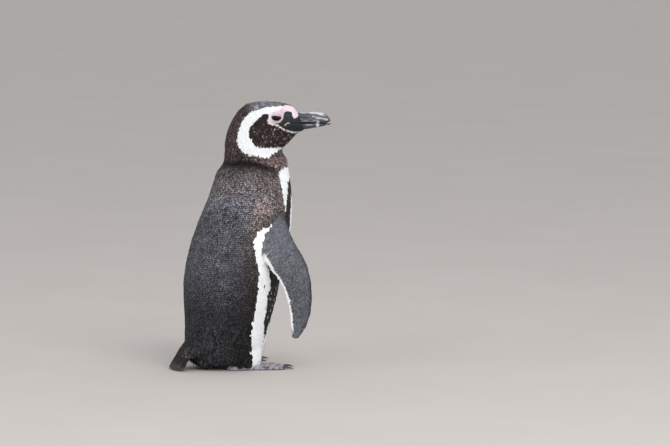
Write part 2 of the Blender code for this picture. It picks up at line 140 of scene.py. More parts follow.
# Outlines on the side of the head as (p, z). The white band and the cheek meet at one edge.
CHEEK_EDGE = (
    (24, 423), (17.8, 424.4), (14.4, 422.4), (10.2, 419), (6.1, 415), (1.9, 411.5), (-2.2, 408),
    (-5.7, 404), (-8, 400.5), (-9.1, 395), (-9.1, 389.6), (-7.4, 384.2), (-4.2, 380.2), (-2, 374.7),
    (2, 370.6), (7.6, 368.5), (14.4, 367.7), (21, 367.5), (34, 367.2), (46, 367.3),
)
WHITE_BAND = (
    (53.5, 440.5), (51.5, 437), (44.6, 436.4), (39, 435.4), (33.6, 435.1), (28, 435.1), (21, 434.3),
    (14.3, 433), (8.7, 431.4), (3.2, 429.3), (-2.3, 427.6), (-6.5, 426), (-10.6, 422), (-14.8, 418.2),
    (-18.2, 413.8), (-21, 409), (-23.3, 403.6), (-25.1, 397.4), (-27.2, 392), (-28.3, 384),
    (-28.5, 378.4), (-26.4, 371.6), (-24.3, 367), (-20, 361), (-11, 355.5), (0, 354.5), (10, 352.3),
    (18.5, 352.8), (27, 354.5), (34, 357.4), (38.5, 360), (43, 362.5), (50, 366.5),
) + CHEEK_EDGE[::-1] + (
    (27, 425), (33, 427.5), (39, 429), (44.6, 432.5), (52, 438),
)
CHEEK = ((26, 424),) + CHEEK_EDGE + (
    (60, 366), (92, 386), (92, 425), (70, 430), (40, 428),
)
PINK_SKIN = (
    (24, 422), (27, 425), (33, 427.5), (39, 429), (44.6, 432.5), (52, 438), (60, 440), (70, 434),
    (74, 427), (73, 421), (71, 418), (67, 416), (64.7, 417.2), (62.7, 421), (61.9, 425.5), (58.5, 427.6),
    (53, 427.6), (49.8, 425.8), (48.2, 420), (46.8, 415.2), (45.0, 412.4), (41.8, 409.6), (37.0, 408.6),
    (32.0, 409.0), (27.8, 410.8), (24.8, 413.6), (23.6, 416.6), (23.6, 419.3),
)
LORES = (
    (48.2, 420), (49.5, 425.3), (53, 426.8), (58.5, 426.7), (61.9, 425), (62.7, 421), (64.7, 416.8),
    (67, 415.4), (71, 418), (76, 422), (92, 415), (92, 394), (70.9, 394), (66.7, 394.2), (58.5, 396),
    (51.6, 398.6), (46, 402), (42.2, 405), (41, 407.5), (43.2, 409.5), (45.2, 412.5), (46.8, 415.2),
)
PALE_LINE = (
    (22.5, 414), (25, 409.8), (29.5, 407.4), (35, 406.4), (39.5, 403.6), (46, 399.6), (54, 395.4),
    (61, 392.6), (70, 391.6),
)
FLECK_LINE = ((37, 401), (34, 397), (31.7, 392), (29.6, 386))
GAPE_LINE = (
    (50.5, 404.6), (52.6, 407.2), (55.2, 408.5), (58.2, 408.8), (64, 407.8), (72, 406.9), (86, 406.5),
)
UNDER_GAPE_LINE = ((53.2, 403.6), (58.0, 405.2))
UNDER_GAPE = (0.045, 0.012, 0.014)

# Marks on the bill: whether on its upper half, a line of (p, z), half width and strength. Among the pale ones
# are painted highlights.
PALE_STROKES_AND_HIGHLIGHTS = (
    # The first two pale strokes are a painted highlight along the culmen and the fourth a painted highlight
    # along the side; the two across both halves at p 105 are the bill's own pale bar.
    (True, ((76, 424.8), (89, 426.0), (97, 425.4)), 3.0, 0.7),
    (True, ((94, 425.4), (103, 424.8), (113, 422.6)), 3.3, 1.0),
    (True, ((97, 418.4), (98.2, 418.2)), 1.5, 0.85),
    (True, ((101.5, 416.4), (110, 415.5), (121, 413.2)), 1.7, 0.9),
    (True, ((109, 421.4), (119, 418.6)), 2.0, 0.3),
    (True, ((74, 410.2), (88, 410.5), (100, 410.6)), 0.9, 0.38),
    (True, ((70, 413.8), (86, 411.9), (103, 411.5)), 0.8, 0.3),
    (True, ((105.5, 409.4), (105.5, 406.0)), 3.2, 0.95),
    (True, ((121.5, 406.6), (126.5, 409.4)), 1.5, 0.85),
    (False, ((104.5, 406.0), (105, 402.4)), 3.2, 1.0),
    (False, ((85.6, 404.4), (98, 404.2)), 1.2, 0.45),
)
DARK_STROKES = (
    (True, ((75, 423.2), (82, 421.1), (89, 419.8), (94, 421.6), (99, 421.0), (106.5, 419.7), (111, 418.0)),
     1.2, 0.9),
    (True, ((111, 418.0), (119.5, 417.4)), 2.0, 0.9),
    (True, ((90, 408.2), (99.5, 407.0)), 1.9, 0.85),
    (True, ((110.5, 409.2), (116, 408.6), (121, 408.8)), 2.4, 0.95),
    (True, ((121.5, 423.0), (126.3, 417.0), (127.2, 411.5)), 1.4, 0.9),
    (False, ((74, 398.5), (90, 400.2), (100, 401.4)), 1.6, 0.85),
    (False, ((110.5, 404.5), (121, 404.5)), 2.4, 0.9),
)

EYE_RADIUS = 11.0
EYE_HALF_LENGTH = 8.05
UPPER_LID = 2.3
LOWER_LID = 5.5
LID_THICKNESS = 0.9

# One vane: along from the root, half width and the height of its ridge, as shares
VANE_RINGS = ((0.0, 0.30, 0.35), (0.30, 0.49, 1.0), (0.66, 0.47, 0.95), (0.89, 0.29, 0.55))
VANE_TIP = (1.0, 0.15)
# Feathers by part: length and width in their spacing, and thickness in millimetres at the spacing below
FLIPPER_VANE, LEG_VANE, TAIL_VANE = (2.5, 1.4, 0.20), (2.6, 1.45, 0.40), (3.2, 1.3, 0.6)
QUILL_VANE, FRINGE_VANE = (3.0, 1.9, 0.36), (3.0, 1.4, 0.3)
BODY_THICKNESS = 0.42
THICKNESS_PITCH = 3.7
# Their spacing in millimetres, from row to row and along each row
LEG_PITCH, TAIL_PITCH, QUILL_PITCH, FRINGE_PITCH = (3.3, 3.4), (4.6, 4.4), (17.5, 5.0), (5.2, 3.6)
# Which roots are kept: the share of their spacing that parts them, and of a vane's way that follows the skin
CROWDED, STEEPEST = 0.62, 0.42
ROOT_DEPTH = 0.2
CLEARANCE = 0.6  # from the floor, in millimetres
# Places on the OFBake map, as low and high u and low and high v, and the size of one vane there
BODY_CHART = (0.02, 0.62, 0.02, 0.98)
FLIPPER_CHARTS = ((0.64, 0.98, 0.02, 0.33), (0.64, 0.98, 0.34, 0.65))
LEG_CHARTS = ((0.64, 0.79, 0.67, 0.82), (0.81, 0.96, 0.67, 0.82))
TAIL_CHART = (0.64, 0.98, 0.84, 0.98)
FRINGE_CHART = (0.02, 0.62, 0.0, 0.02)
PATCH = 0.003
# Rings and sides of the rays that find the skin
BODY_RINGS, BODY_SIDES = 300, 72
FRINGE_RINGS = 34  # the lowest of them
FLIPPER_RINGS, FLIPPER_SIDES = 130, 64
LEG_RINGS, LEG_SIDES = 70, 48
TAIL_RINGS, TAIL_SIDES = 60, 56
# Heights where coats part or end
MIDDLE_Z = 170.0  # upper and lower coats of the trunk
RUMP_Z = 30.0  # coat of the back on the tail's root, and loose feathers below
TAIL_COAT_Z = 32.0
FLIPPER_COAT_Z = 62.5
ANKLE_Z = 11.0  # feathers above it, scales below

SKY, SKY_STRENGTH = (0.93, 0.96, 1.0, 1.0), 0.80
# Azimuth and elevation in degrees, power and width of each lamp
LAMPS = (("key", -88.0, 40.0, 72.0, 2.6), ("fill", -165.0, 25.0, 24.0, 2.5))
LAMP_DISTANCE, FLOOR_SIZE = 3.6, 60.0
CAMERA_AZIMUTH, CAMERA_ELEVATION, CAMERA_DISTANCE = -115.0, 6.0, 6.0
VIEW_WIDTH, SENSOR = 1.1169, 36.0
AIM_UP, AIM_RIGHT = 0.2414, 0.1742


# ---------------------------------------------------------------- numbers

def ease(value, low, high):
    """0 at low and 1 at high, eased between. low may be the larger."""
    share = np.clip((value - low) / (high - low), 0.0, 1.0)
    return share * share * (3.0 - 2.0 * share)


def bell(value, middle, width):
    """1 at the middle, fading on both sides of it."""
    return np.exp(-((value - middle) / width) ** 2)


def unit(vectors):
    """Vectors scaled to length one."""
    return vectors / np.maximum(np.linalg.norm(vectors, axis=-1, keepdims=True), 1e-9)


def running(steps):
    """The sum of the steps so far, from 0."""
    return np.concatenate([[0.0], np.cumsum(steps)])


def lengths_along(line):
    """How far along a line each of its points is."""
    return running(np.linalg.norm(np.diff(line, axis=0), axis=1))


def resampled(line, lengths, count):
    """Evenly spaced rows along a line."""
    at = np.linspace(0.0, lengths[-1], count)
    return np.stack([np.interp(at, lengths, column) for column in line.T], axis=1)


def along_table(table, at):
    """The second column of a falling table at these values of the first."""
    rows = np.array(table[::-1], float)
    return np.interp(at, rows[:, 0], rows[:, 1])


def blend(first, second, weight):
    """Colours mixed by a weight for each point."""
    return first + (np.asarray(second) - first) * np.asarray(weight)[:, None]


def layered(colour, *layers):
    """A colour with others over it in turn, each with its weight for each point."""
    for shade, weight in layers:
        colour = blend(colour, shade, weight)
    return colour


def times(colour, by):
    """A colour, or one for each point, times a value for each point."""
    return colour * by[:, None]


def waves(points, length, seed):
    """Smooth noise of about -1 to 1 with this wavelength."""
    rng = np.random.default_rng(seed)
    total = np.zeros(len(points))
    for _ in range(8):
        direction = rng.normal(size=3)
        pace = 2.0 * math.pi / (np.linalg.norm(direction) * length * rng.uniform(0.7, 1.6))
        total += np.sin(points @ direction * pace + rng.uniform(0.0, 2.0 * math.pi))
    return total / 2.8


def mottle(points, base, *layers):
    """A value with waves on it, each layer given by strength, wavelength and seed."""
    for strength, length, seed in layers:
        base = base + strength * waves(points, length, seed)
    return base


def turned(f, r, z, angle):
    """f and r after the head is turned by an angle that fades out down the neck."""
    angle = angle * ease(z, TURN_FROM_Z, TURN_TO_Z)
    ahead, cos, sin = f - NECK_AXIS_F, np.cos(angle), np.sin(angle)
    return NECK_AXIS_F + ahead * cos - r * sin, r * cos + ahead * sin


def to_bird(points):
    """(f, r, z) in millimetres of points in metres, with the turn of the head undone."""
    f, r, z = ORIGIN_F - points[:, 1] / MM, -points[:, 0] / MM, points[:, 2] / MM
    return np.stack([*turned(f, r, z, -HEAD_TURN), z], axis=1)


def to_world(bird):
    """The reverse of to_bird."""
    f, r, z = np.asarray(bird, float).T
    f, r = turned(f, r, z, HEAD_TURN)
    return np.stack([-r, ORIGIN_F - f, z], axis=1) * MM


def rounded(outline, parts=4):
    """A finer closed outline through the same corners, curved between them."""
    here = np.array(outline, float)[:, None, :]
    before, after, beyond = (np.roll(here, by, 0) for by in (1, -1, -2))
    t = np.linspace(0.0, 1.0, parts, endpoint=False)[None, :, None]
    fine = 0.5 * (2 * here + (after - before) * t + (2 * before - 5 * here + 4 * after - beyond) * t ** 2
                  + (3 * here - before - 3 * after + beyond) * t ** 3)
    return fine.reshape(-1, 2)


def distance_to_line(line, x, y):
    """Distance of each point from an open line."""
    nearest = np.full(len(x), 1e9)
    for (ax, ay), (bx, by) in zip(line, line[1:]):
        dx, dy = bx - ax, by - ay
        share = np.clip(((x - ax) * dx + (y - ay) * dy) / max(dx * dx + dy * dy, 1e-9), 0.0, 1.0)
        nearest = np.minimum(nearest, np.hypot(x - ax - dx * share, y - ay - dy * share))
    return nearest


def inside_by(outline, x, y):
    """How far each point is inside a closed outline, negative outside it."""
    fine = rounded(outline)
    closed = np.vstack([fine, fine[:1]])
    inside = np.zeros(len(x), bool)
    for (ax, ay), (bx, by) in zip(closed, closed[1:]):
        if ay != by:
            inside ^= ((ay > y) != (by > y)) & (x < (bx - ax) * (y - ay) / (by - ay) + ax)
    distance = distance_to_line(closed, x, y)
    return np.where(inside, distance, -distance)


# ---------------------------------------------------------------- surfaces

def read(items, name, width, kind=float):
    """One property of all items of a mesh, as rows of an array."""
    flat = np.empty(len(items) * width, kind)
    items.foreach_get(name, flat)
    return flat.reshape(-1, width)


def vertices_of(mesh):
    return read(mesh.vertices, "co", 3)


def edges_of(mesh):
    return read(mesh.edges, "vertices", 2, np.int32)


def normals_of(mesh):
    return read(mesh.vertex_normals, "vector", 3, np.float32).astype(float)


def triangles_of(mesh):
    mesh.calc_loop_triangles()
    return read(mesh.loop_triangles, "vertices", 3, np.int32)


def search_tree(points, triangles):
    return BVHTree.FromPolygons(points.tolist(), triangles.tolist())


def solid_tree(names):
    """A search tree over CAD nodes, with the number of the node that each triangle belongs to."""
    points, triangles, owners, count = [], [], [], 0
    for number, name in enumerate(names):
        mesh = NODES[name].data
        points.append(vertices_of(mesh))
        triangles.append(triangles_of(mesh) + count)
        owners.append(np.full(len(triangles[-1]), number))
        count += len(mesh.vertices)
    return search_tree(np.vstack(points), np.vstack(triangles)), np.concatenate(owners)


def cast(tree, origins, directions):
    """Where rays first meet a surface, as rows of nan where they miss."""
    hits = np.full((len(origins), 3), np.nan)
    for index, (origin, direction) in enumerate(zip(origins.tolist(), directions.tolist())):
        hit = tree.ray_cast(origin, direction)[0]
        if hit is not None:
            hits[index] = hit
    return hits


def nearest_on(tree, points):
    """Nearest place and triangle on a surface, and its distance."""
    places, faces, gaps = np.zeros((len(points), 3)), np.zeros(len(points), int), np.zeros(len(points))
    for index, point in enumerate(points.tolist()):
        places[index], _, faces[index], gaps[index] = tree.find_nearest(point)
    return places, faces, gaps


def region_numbers(points):
    """The number of the region of flesh nearest to each point."""
    tree, owners = solid_tree(REGIONS)
    return owners[nearest_on(tree, points)[1]]


def girth():
    """The trunk and neck by height: z, the middle's f, half depth and half width.

    Between the legs and under the tail they stay as they are at the lowest clear height."""
    tree, _ = solid_tree(("trunk", "neck", "head", "leg_right", "leg_left"))
    reach, clear = 400.0, 56.0
    heights = np.arange(14.0, 372.0, 3.0)
    middle = np.interp(heights, [row[1] for row in BODY_LINE], [row[0] for row in BODY_LINE])
    zero = np.zeros_like(heights)

    def outermost(df, dr, at_f):
        start = to_world(np.stack([at_f + df * reach, zero + dr * reach, heights], axis=1))
        end = to_world(np.stack([at_f, zero, heights], axis=1))
        return to_bird(cast(tree, start, unit(end - start)))

    belly, back = (outermost(way, 0.0, middle)[:, 0] for way in (1.0, -1.0))
    belly, back = (np.where(heights < clear, item[heights >= clear][0], item) for item in (belly, back))
    centre = (belly + back) / 2.0
    return heights, centre, (belly - back) / 2.0, outermost(0.0, 1.0, centre)[:, 1]


GIRTH = girth()


def round_the_body(bird):
    """Degrees round from the belly (negative on the left), and millimetres to a degree."""
    f, r, z = bird.T
    centre, depth, width = (np.interp(z, GIRTH[0], item) for item in GIRTH[1:])
    theta = np.degrees(np.arctan2(r / width, (f - centre) / depth))
    return theta, (depth + width) * math.pi / 360.0


def flipper_place(bird):
    """Where points are on a flipper: share of the way to its tip, share across from the trailing (-1)
    to the leading edge (1), and outward in millimetres."""
    side = np.sign(bird[:, 1])
    points = bird * np.stack([np.ones_like(side), side, np.ones_like(side)], axis=1)
    line = np.array(FLIPPER_LINE)
    lengths = lengths_along(line[:, :3])
    best = np.full(len(points), 1e9)
    share, across, outward = np.zeros((3, len(points)))
    for index in range(len(line) - 1):
        start, step = line[index, :3], line[index + 1, :3] - line[index, :3]
        along = unit(step)
        chord = unit(FLIPPER_CHORD - along * (FLIPPER_CHORD @ along))
        t = (points - start) @ step / (step @ step)
        t = np.clip(t, 0.0 if index else -1.0, 1.0 if index < len(line) - 2 else 1.5)
        offset = points - start - t[:, None] * step
        across_mm = offset @ chord
        gap = np.linalg.norm(offset - across_mm[:, None] * chord, axis=1) + 0.15 * np.abs(across_mm)
        half = np.maximum(line[index, 3] + (line[index + 1, 3] - line[index, 3]) * t, 3.0)
        better = gap < best
        best = np.where(better, gap, best)
        share = np.where(better, (lengths[index] + np.linalg.norm(step) * t) / lengths[-1], share)
        across = np.where(better, across_mm / half, across)
        outward = np.where(better, offset @ np.cross(chord, along), outward)
    return share, across, outward


# ---------------------------------------------------------------- markings

def neck_fold(bird):
    """Height of the fold where the neck's plumage lies over the mantle."""
    theta, _ = round_the_body(bird)
    return np.interp(np.abs(theta), *np.array(NECK_FOLD, float).T)


def paint_trunk(bird, hues, jitter):
    """Colours of the trunk, the legs and the neck below the head."""
    z = bird[:, 2]
    theta, per_degree = round_the_body(bird)
    turn = np.abs(theta)
    rough = mottle(bird, 0.0, (0.9, 11.0, 3), (0.5, 4.5, 4)) + jitter
    mantle = (turn - along_table(MANTLE_EDGE, z)) * per_degree
    above = z - COLLAR_TOP
    dark_by = np.where((mantle > -8) & (above > -8), np.logaddexp(mantle / 2.0, above / 2.0) * 2.0,
                       np.maximum(mantle, above)) + rough
    outer = np.minimum((along_table(BAND_OUTER, z) - turn) * per_degree,
                       BAND_TOP - 10.0 * (turn / 50.0) ** 2 - z)
    inner = -4.0 * np.logaddexp((turn - along_table(BAND_INNER, z)) * per_degree / 4.0,
                                (z - BELLY_TOP + 8.0 * (turn / 38.0) ** 2) / 4.0)
    black_by = np.minimum(outer, -inner) + 1.3 * rough
    for height, degrees, radius in SPOTS:
        off = np.hypot(z - height, (theta - degrees) * per_degree)
        black_by = np.maximum(black_by, radius + 0.4 * rough - off)
    warm = 0.8 * bell(mantle, 2.0, 24.0) + 0.8 * ease(z, 262.0, 320.0)
    dark = blend(hues.slate, hues.brown, np.clip(warm, 0.0, 1.0))
    faded = np.exp(-(((z - 262.0) / 22.0) ** 2 + ((turn - 95.0) / 14.0) ** 2))
    dark = blend(dark, hues.rust, 0.8 * faded)
    # Up on the shoulders the plumage is painted much lighter, partly its own paler tone and partly painted
    # light falling from above; lower down it grows darker towards the floor.
    shoulders = ease(z, 250.0, 285.0) * ease(z, 336.0, 308.0)
    dark = times(dark, 1.0 + 0.75 * shoulders - 0.64 * ease(z, 190.0, 80.0))
    dark = times(dark, 1.0 - 0.42 * ease(mantle, 70.0, 15.0) * ease(z, 230.0, 140.0))
    dark = times(dark, mottle(bird, 1.0, (0.12, 26.0, 8), (0.10, 9.0, 9), (0.12, 5.0, 10)))
    fold = z - neck_fold(bird)
    # Painted shadow under the neck's fold: the mantle just below the fold is darkened, fading out round
    # towards the belly.
    dark = times(dark, 1.0 - 0.72 * bell(np.minimum(fold + 4.0, 0.0), 0.0, 7.0) * ease(turn, 48.0, 75.0))
    neck = blend(hues.neck, hues.nape, ease(turn, 60.0, 120.0))
    neck = times(neck, np.maximum(mottle(bird, 1.0, (0.25, 7.0, 14), (0.40, 3.6, 15)), 0.3))
    dark = blend(dark, neck, ease(fold, -1.0, 2.0))
    # Round the sides, from about 50 to 68 degrees on, the white is painted 6 % brighter: painted light.
    white = times(hues.white, mottle(bird, 1.0, (0.03, 30.0, 11)) + 0.06 * ease(turn, 50.0, 68.0))
    colour = blend(white, dark, ease(dark_by, -0.25, 0.25))
    flecks = mottle(bird, 0.0, (1.0, 5.0, 12), (0.4, 2.5, 13))
    black = blend(hues.black, white, 0.8 * ease(flecks, 1.0, 1.4) * ease(z, 150.0, 110.0))
    return blend(colour, black, ease(black_by, -0.25, 0.25) * (dark_by < 0.25))


def middle_of(node):
    """The middle of a CAD node, in metres."""
    low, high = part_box(node)
    return (low + high) / 2.0


def eye_place():
    """(p, z) of the eyes."""
    f, _, z = to_bird(np.array([middle_of("eye_right")]))[0]
    return f - NECK_AXIS_F, z


def eye_ring(across, up):
    """How far out a point is from the middle of the pale ring round the eye, where the ring ends at 1."""
    return np.hypot((across - 0.8) / 11.4, (up - 2.4) / 9.4)


def lid_opening(across, up):
    """How far inside the opening of the lids a point is, across from the eye's middle and up."""
    aside = (across - 0.75) / EYE_HALF_LENGTH
    height = np.clip(1.0 - aside ** 2, 0.0, 1.0) ** 0.5
    corner = 2.45 - 0.45 * aside
    top = corner + (UPPER_LID - 0.5 * aside) * height
    bottom = corner - LOWER_LID * height
    beyond = (1.0 - np.abs(aside)) * EYE_HALF_LENGTH
    inside = np.minimum(top - up, up - bottom)
    return np.where(beyond > 0, np.minimum(inside, beyond), -np.hypot(beyond, up - corner))


def bare_by(bird):
    """How far inside the pink skin, the dark lores and the ring round the eye each point is."""
    p, q, z = bird[:, 0] - NECK_AXIS_F, np.abs(bird[:, 1]), bird[:, 2]
    eye_p, eye_z = eye_place()
    pink = np.minimum(inside_by(PINK_SKIN, p, z), q - (2.0 + 5.0 * ease(p, 68.0, 50.0)))
    ring = np.minimum(9.4 - 9.4 * eye_ring(p - eye_p, z - eye_z), q - 12.0)
    lores = np.minimum(inside_by(LORES, p, z), q - 2.0)
    lores = np.where(np.minimum(np.maximum(pink, ring), lores) > -1.7, np.maximum(lores, 0.3), lores)
    return np.maximum(pink, np.minimum(ring, -0.01 - lores)), lores, ring


def paint_face(bird, hues):
    """Colours of the pink skin and the lores, and how far inside each of them every point is."""
    p, z = bird[:, 0] - NECK_AXIS_F, bird[:, 2]
    pink_by, lores_by, ring_by = bare_by(bird)
    streak = 0.75 - distance_to_line(GAPE_LINE[:4], p, z)
    under = 1.2 - distance_to_line(UNDER_GAPE_LINE, p, z)
    lores = layered(hues.lores * (1.1 + 0.4 * waves(bird * (0.6, 1.0, 1.0), 4.5, 29)[:, None]),
                    (hues.pale_pink * 0.8, ease(streak, -0.4, 0.4)), (UNDER_GAPE, ease(under, -0.4, 0.6)))
    eye_p, eye_z = eye_place()
    mauve = np.exp(-((p - eye_p - 8.5) / 5.0) ** 2 - ((z - eye_z - 9.0) / 5.5) ** 2)
    pink = layered(hues.pale_pink,
                   (hues.pink, np.maximum(mauve, 0.45 * ease(ring_by, 2.4, 5.0))),
                   (hues.pale_pink * 1.08, 0.9 * bell(ring_by, 0.9, 0.8)),
                   # A darker tone along the fold round the lids: painted shade in that crease.
                   (hues.lid_fold_shade, bell(ring_by, 2.4, 0.5) * 0.35))
    pink = blend(pink, pink * (0.84, 0.88, 0.88), ease(ring_by, -0.5, 1.0))
    pink = blend(pink, hues.lores * 0.6, ease(lid_opening(p - eye_p, z - eye_z), -0.75, -0.25))
    pink = times(pink, mottle(bird, 1.0, (0.05, 2.4, 30), (0.05, 6.0, 31)))
    pink = blend(pink, hues.lores, 0.25 * ease(waves(bird, 1.5, 32), 1.5, 1.9) * ease(ring_by, -2.0, 1.0))
    return pink, pink_by, lores, lores_by


def paint_head(bird, hues, jitter):
    """Colours of the head, and how bare it is."""
    p, q, z = bird[:, 0] - NECK_AXIS_F, np.abs(bird[:, 1]), bird[:, 2]
    rough = mottle(bird, 0.0, (0.35, 6.0, 21), (0.25, 2.6, 22)) + jitter
    white = hues.white * 0.92
    # The top of the head takes a lighter grey tone: partly the crown's own colour and partly painted light
    # falling from above.
    crown_and_top_light = ease(z, 414.0, 432.0 - 8.0 * ease(p, 30.0, 60.0)) * ease(p, -18.0, 6.0)
    worn = ease(mottle(bird, 0.0, (1.0, 4.5, 36), (0.5, 12.0, 37)), 0.3, 1.5) * ease(p, 20.0, -5.0)
    colour = layered(hues.nape, (hues.crown_and_top_light, crown_and_top_light), (hues.neck, ease(p, -8.0, 20.0) * ease(z, 372.0, 352.0)),
                     (hues.rust * 0.62, 0.8 * worn * ease(z, 430.0, 415.0)))
    colour = times(colour, np.maximum(mottle(bird, 1.0, (0.24, 8.0, 23), (0.45, 3.4, 33)), 0.3))
    in_cheek = inside_by(CHEEK, p, z) + 0.5 * rough
    patch = ease(mottle(bird, 0.0, (1.0, 9.0, 24), (1.0, 2.0, 35)), 0.5, 1.6) * ease(p, 55.0, 10.0)
    fleck = mottle(bird, 0.0, (0.8, 1.7, 25), (0.7, 7.0, 26)) + 1.7 * jitter
    fleck += 0.45 * ease(z, 402.0, 388.0) + 0.4 * ease(p, 8.0, 40.0) - 1.4 * ease(z, 400.0, 412.0)
    fleck += 0.7 * ease(p, 38.0, 54.0) * ease(z, 398.0, 386.0)
    band = np.minimum(inside_by(WHITE_BAND, p, z), np.where(p > 30.0, (q - 7.0) * 1.2, 9.0)) + rough
    line = mottle(bird, 1.55 + 0.9 * ease(p, 44.0, 26.0), (0.5, 4.5, 27)) + 0.5 * jitter
    line -= distance_to_line(PALE_LINE, p, z)
    drops = mottle(bird, 0.35, (0.9, 2.4, 34)) - distance_to_line(FLECK_LINE, p, z)
    edge = 0.25 * waves(bird, 3.0, 28)
    pink, pink_by, lores, lores_by = paint_face(bird, hues)
    colour = layered(
        colour,
        (blend(hues.cheek, hues.rust * 0.42, 0.6 * patch), ease(in_cheek, -0.5, 0.5)),
        (white * (0.27, 0.225, 0.20), ease(fleck, 1.9, 2.3) * (in_cheek > 1.2)),
        (times(white, mottle(bird, 1.0, (0.07, 3.5, 38))), ease(band, -0.2, 0.2)),
        (white * (0.86, 0.80, 0.77), ease(line, -0.3, 0.6)),
        (white * (0.40, 0.35, 0.32), ease(drops, -0.1, 0.8)),
        (lores, ease(lores_by + edge, -0.3, 0.3)),
        (pink, ease(pink_by + edge, -0.35, 0.35)),
    )
    bare = np.maximum(ease(pink_by, -0.2, 0.2), ease(lores_by, -0.2, 0.2))
    return np.maximum(colour, 0.004), bare


def paint_flipper(bird, hues, jitter):
    """Colours of the flippers: slate outside, white beneath, pale along both edges."""
    share, across, outward = flipper_place(bird)
    white = hues.white
    slate = times(hues.flipper, mottle(bird, 1.0, (0.07, 16.0, 41), (0.05, 5.0, 42)))
    slate = times(slate, 1.0 - 0.22 * ease(share, 0.42, 0.72) + 0.2 * ease(share, 0.8, 0.97) + 0.5 * jitter)
    elbow = bell(share, 0.33, 0.06) * ease(across, 0.2, -0.7)
    half = np.interp(share, np.linspace(0.0, 1.0, 6), (14.0, 27.0, 29.0, 26.0, 19.0, 8.0))
    edge = 0.5 * waves(bird, 7.0, 44) + 0.4 * jitter
    trailing = 4.4 + 0.6 * edge - (1.0 + across) * half
    leading = 1.3 + 0.6 * edge - (1.0 - across) * half
    patches = mottle(bird, 0.0, (1.0, 15.0, 45), (0.5, 5.0, 46)) + jitter
    slate = layered(
        slate,
        (white * 0.45, 0.6 * elbow * ease(waves(bird, 5.0, 43), -0.2, 1.2)),
        (hues.brown, 0.55 * ease(share, 0.20, 0.04)),
        (white, ease(trailing, -0.5, 0.5) * ease(share, 0.28, 0.34) * ease(share, 0.99, 0.93)),
        (white * 0.62, 0.7 * ease(leading, -0.4, 0.5) * ease(share, 0.10, 0.20)),
    )
    beneath = layered(white, (hues.black, ease(across + 0.1 * edge, 0.62, 0.70)),
                      (hues.black, 0.9 * ease(share + 0.04 * edge, 0.90, 0.93)),
                      (hues.black, 0.8 * ease(patches, 1.5, 1.7)))
    return blend(slate, beneath, ease(outward, 0.3, -0.3))


def paint_foot(bird, hues):
    """Mottled colours of the feet."""
    spots = mottle(bird, 0.0, (1.0, 8.0, 51), (0.5, 3.0, 52))
    return layered(hues.foot, (hues.foot_dark, ease(spots, 0.0, 0.9)),
                   (hues.pale_pink * 0.8, 0.7 * ease(waves(bird, 10.0, 53), 0.5, 1.1)),
                   (hues.foot_dark * 0.5, ease(bird[:, 2], 2.2, 0.5)))


def paint(points, regions, hues, jitter):
    """Colours and bareness of points in metres on the skin or at the roots of feathers."""
    bird = to_bird(points)
    colour = paint_trunk(bird, hues, jitter)
    bare = np.zeros(len(bird))
    head_like = (regions == HEAD) | (regions >= BILL)
    spots = np.where(head_like | (regions == NECK))[0]
    on_head, head_bare = paint_head(bird[spots], hues, jitter[spots])
    above = bird[spots, 2] - neck_fold(bird[spots])
    colour[spots] = blend(colour[spots], on_head, np.where(head_like[spots], 1.0, ease(above, 6.0, 12.0)))
    bare[spots] = head_bare * head_like[spots]
    wings, feet, tail = np.isin(regions, WINGS), np.isin(regions, FEET), regions == TAIL
    colour[wings] = paint_flipper(bird[wings], hues, jitter[wings])
    colour[tail] = hues.black * (1.2 + 0.3 * waves(bird[tail], 8.0, 61)[:, None])
    colour[feet] = paint_foot(bird[feet], hues)
    bare[feet] = 1.0
    return np.clip(colour, 0.0, 1.0), bare


# ---------------------------------------------------------------- finishes

def add_node(tree, kind, settings=None, inputs=None):
    """The outputs of a new node, its settings made first and its sockets then set or linked."""
    made = tree.nodes.new(kind)
    for name, value in (settings or {}).items():
        setattr(made, name, value)
    for key, value in (inputs or {}).items():
        value = value.socket if isinstance(value, Shade) else value
        if isinstance(value, bpy.types.NodeSocket):
            tree.links.new(value, made.inputs[key])
        else:
            made.inputs[key].default_value = value
    return made.outputs


class Shade:
    """A shader value that takes part in arithmetic, adding a Math node for each step."""

    def __init__(self, tree, socket):
        self.tree, self.socket = tree, socket

    def _math(self, operation, *values):
        sockets = add_node(self.tree, "ShaderNodeMath", {"operation": operation}, dict(enumerate(values)))
        return Shade(self.tree, sockets[0])

    def __add__(self, other):
        return self._math("ADD", self, other)

    def __sub__(self, other):
        return self._math("SUBTRACT", self, other)

    def __rsub__(self, other):
        return self._math("SUBTRACT", other, self)

    def __mul__(self, other):
        return self._math("MULTIPLY", self, other)

    def sine(self):
        return self._math("SINE", self)

    def size(self):
        return self._math("ABSOLUTE", self)

    __radd__ = __add__
    __rmul__ = __mul__


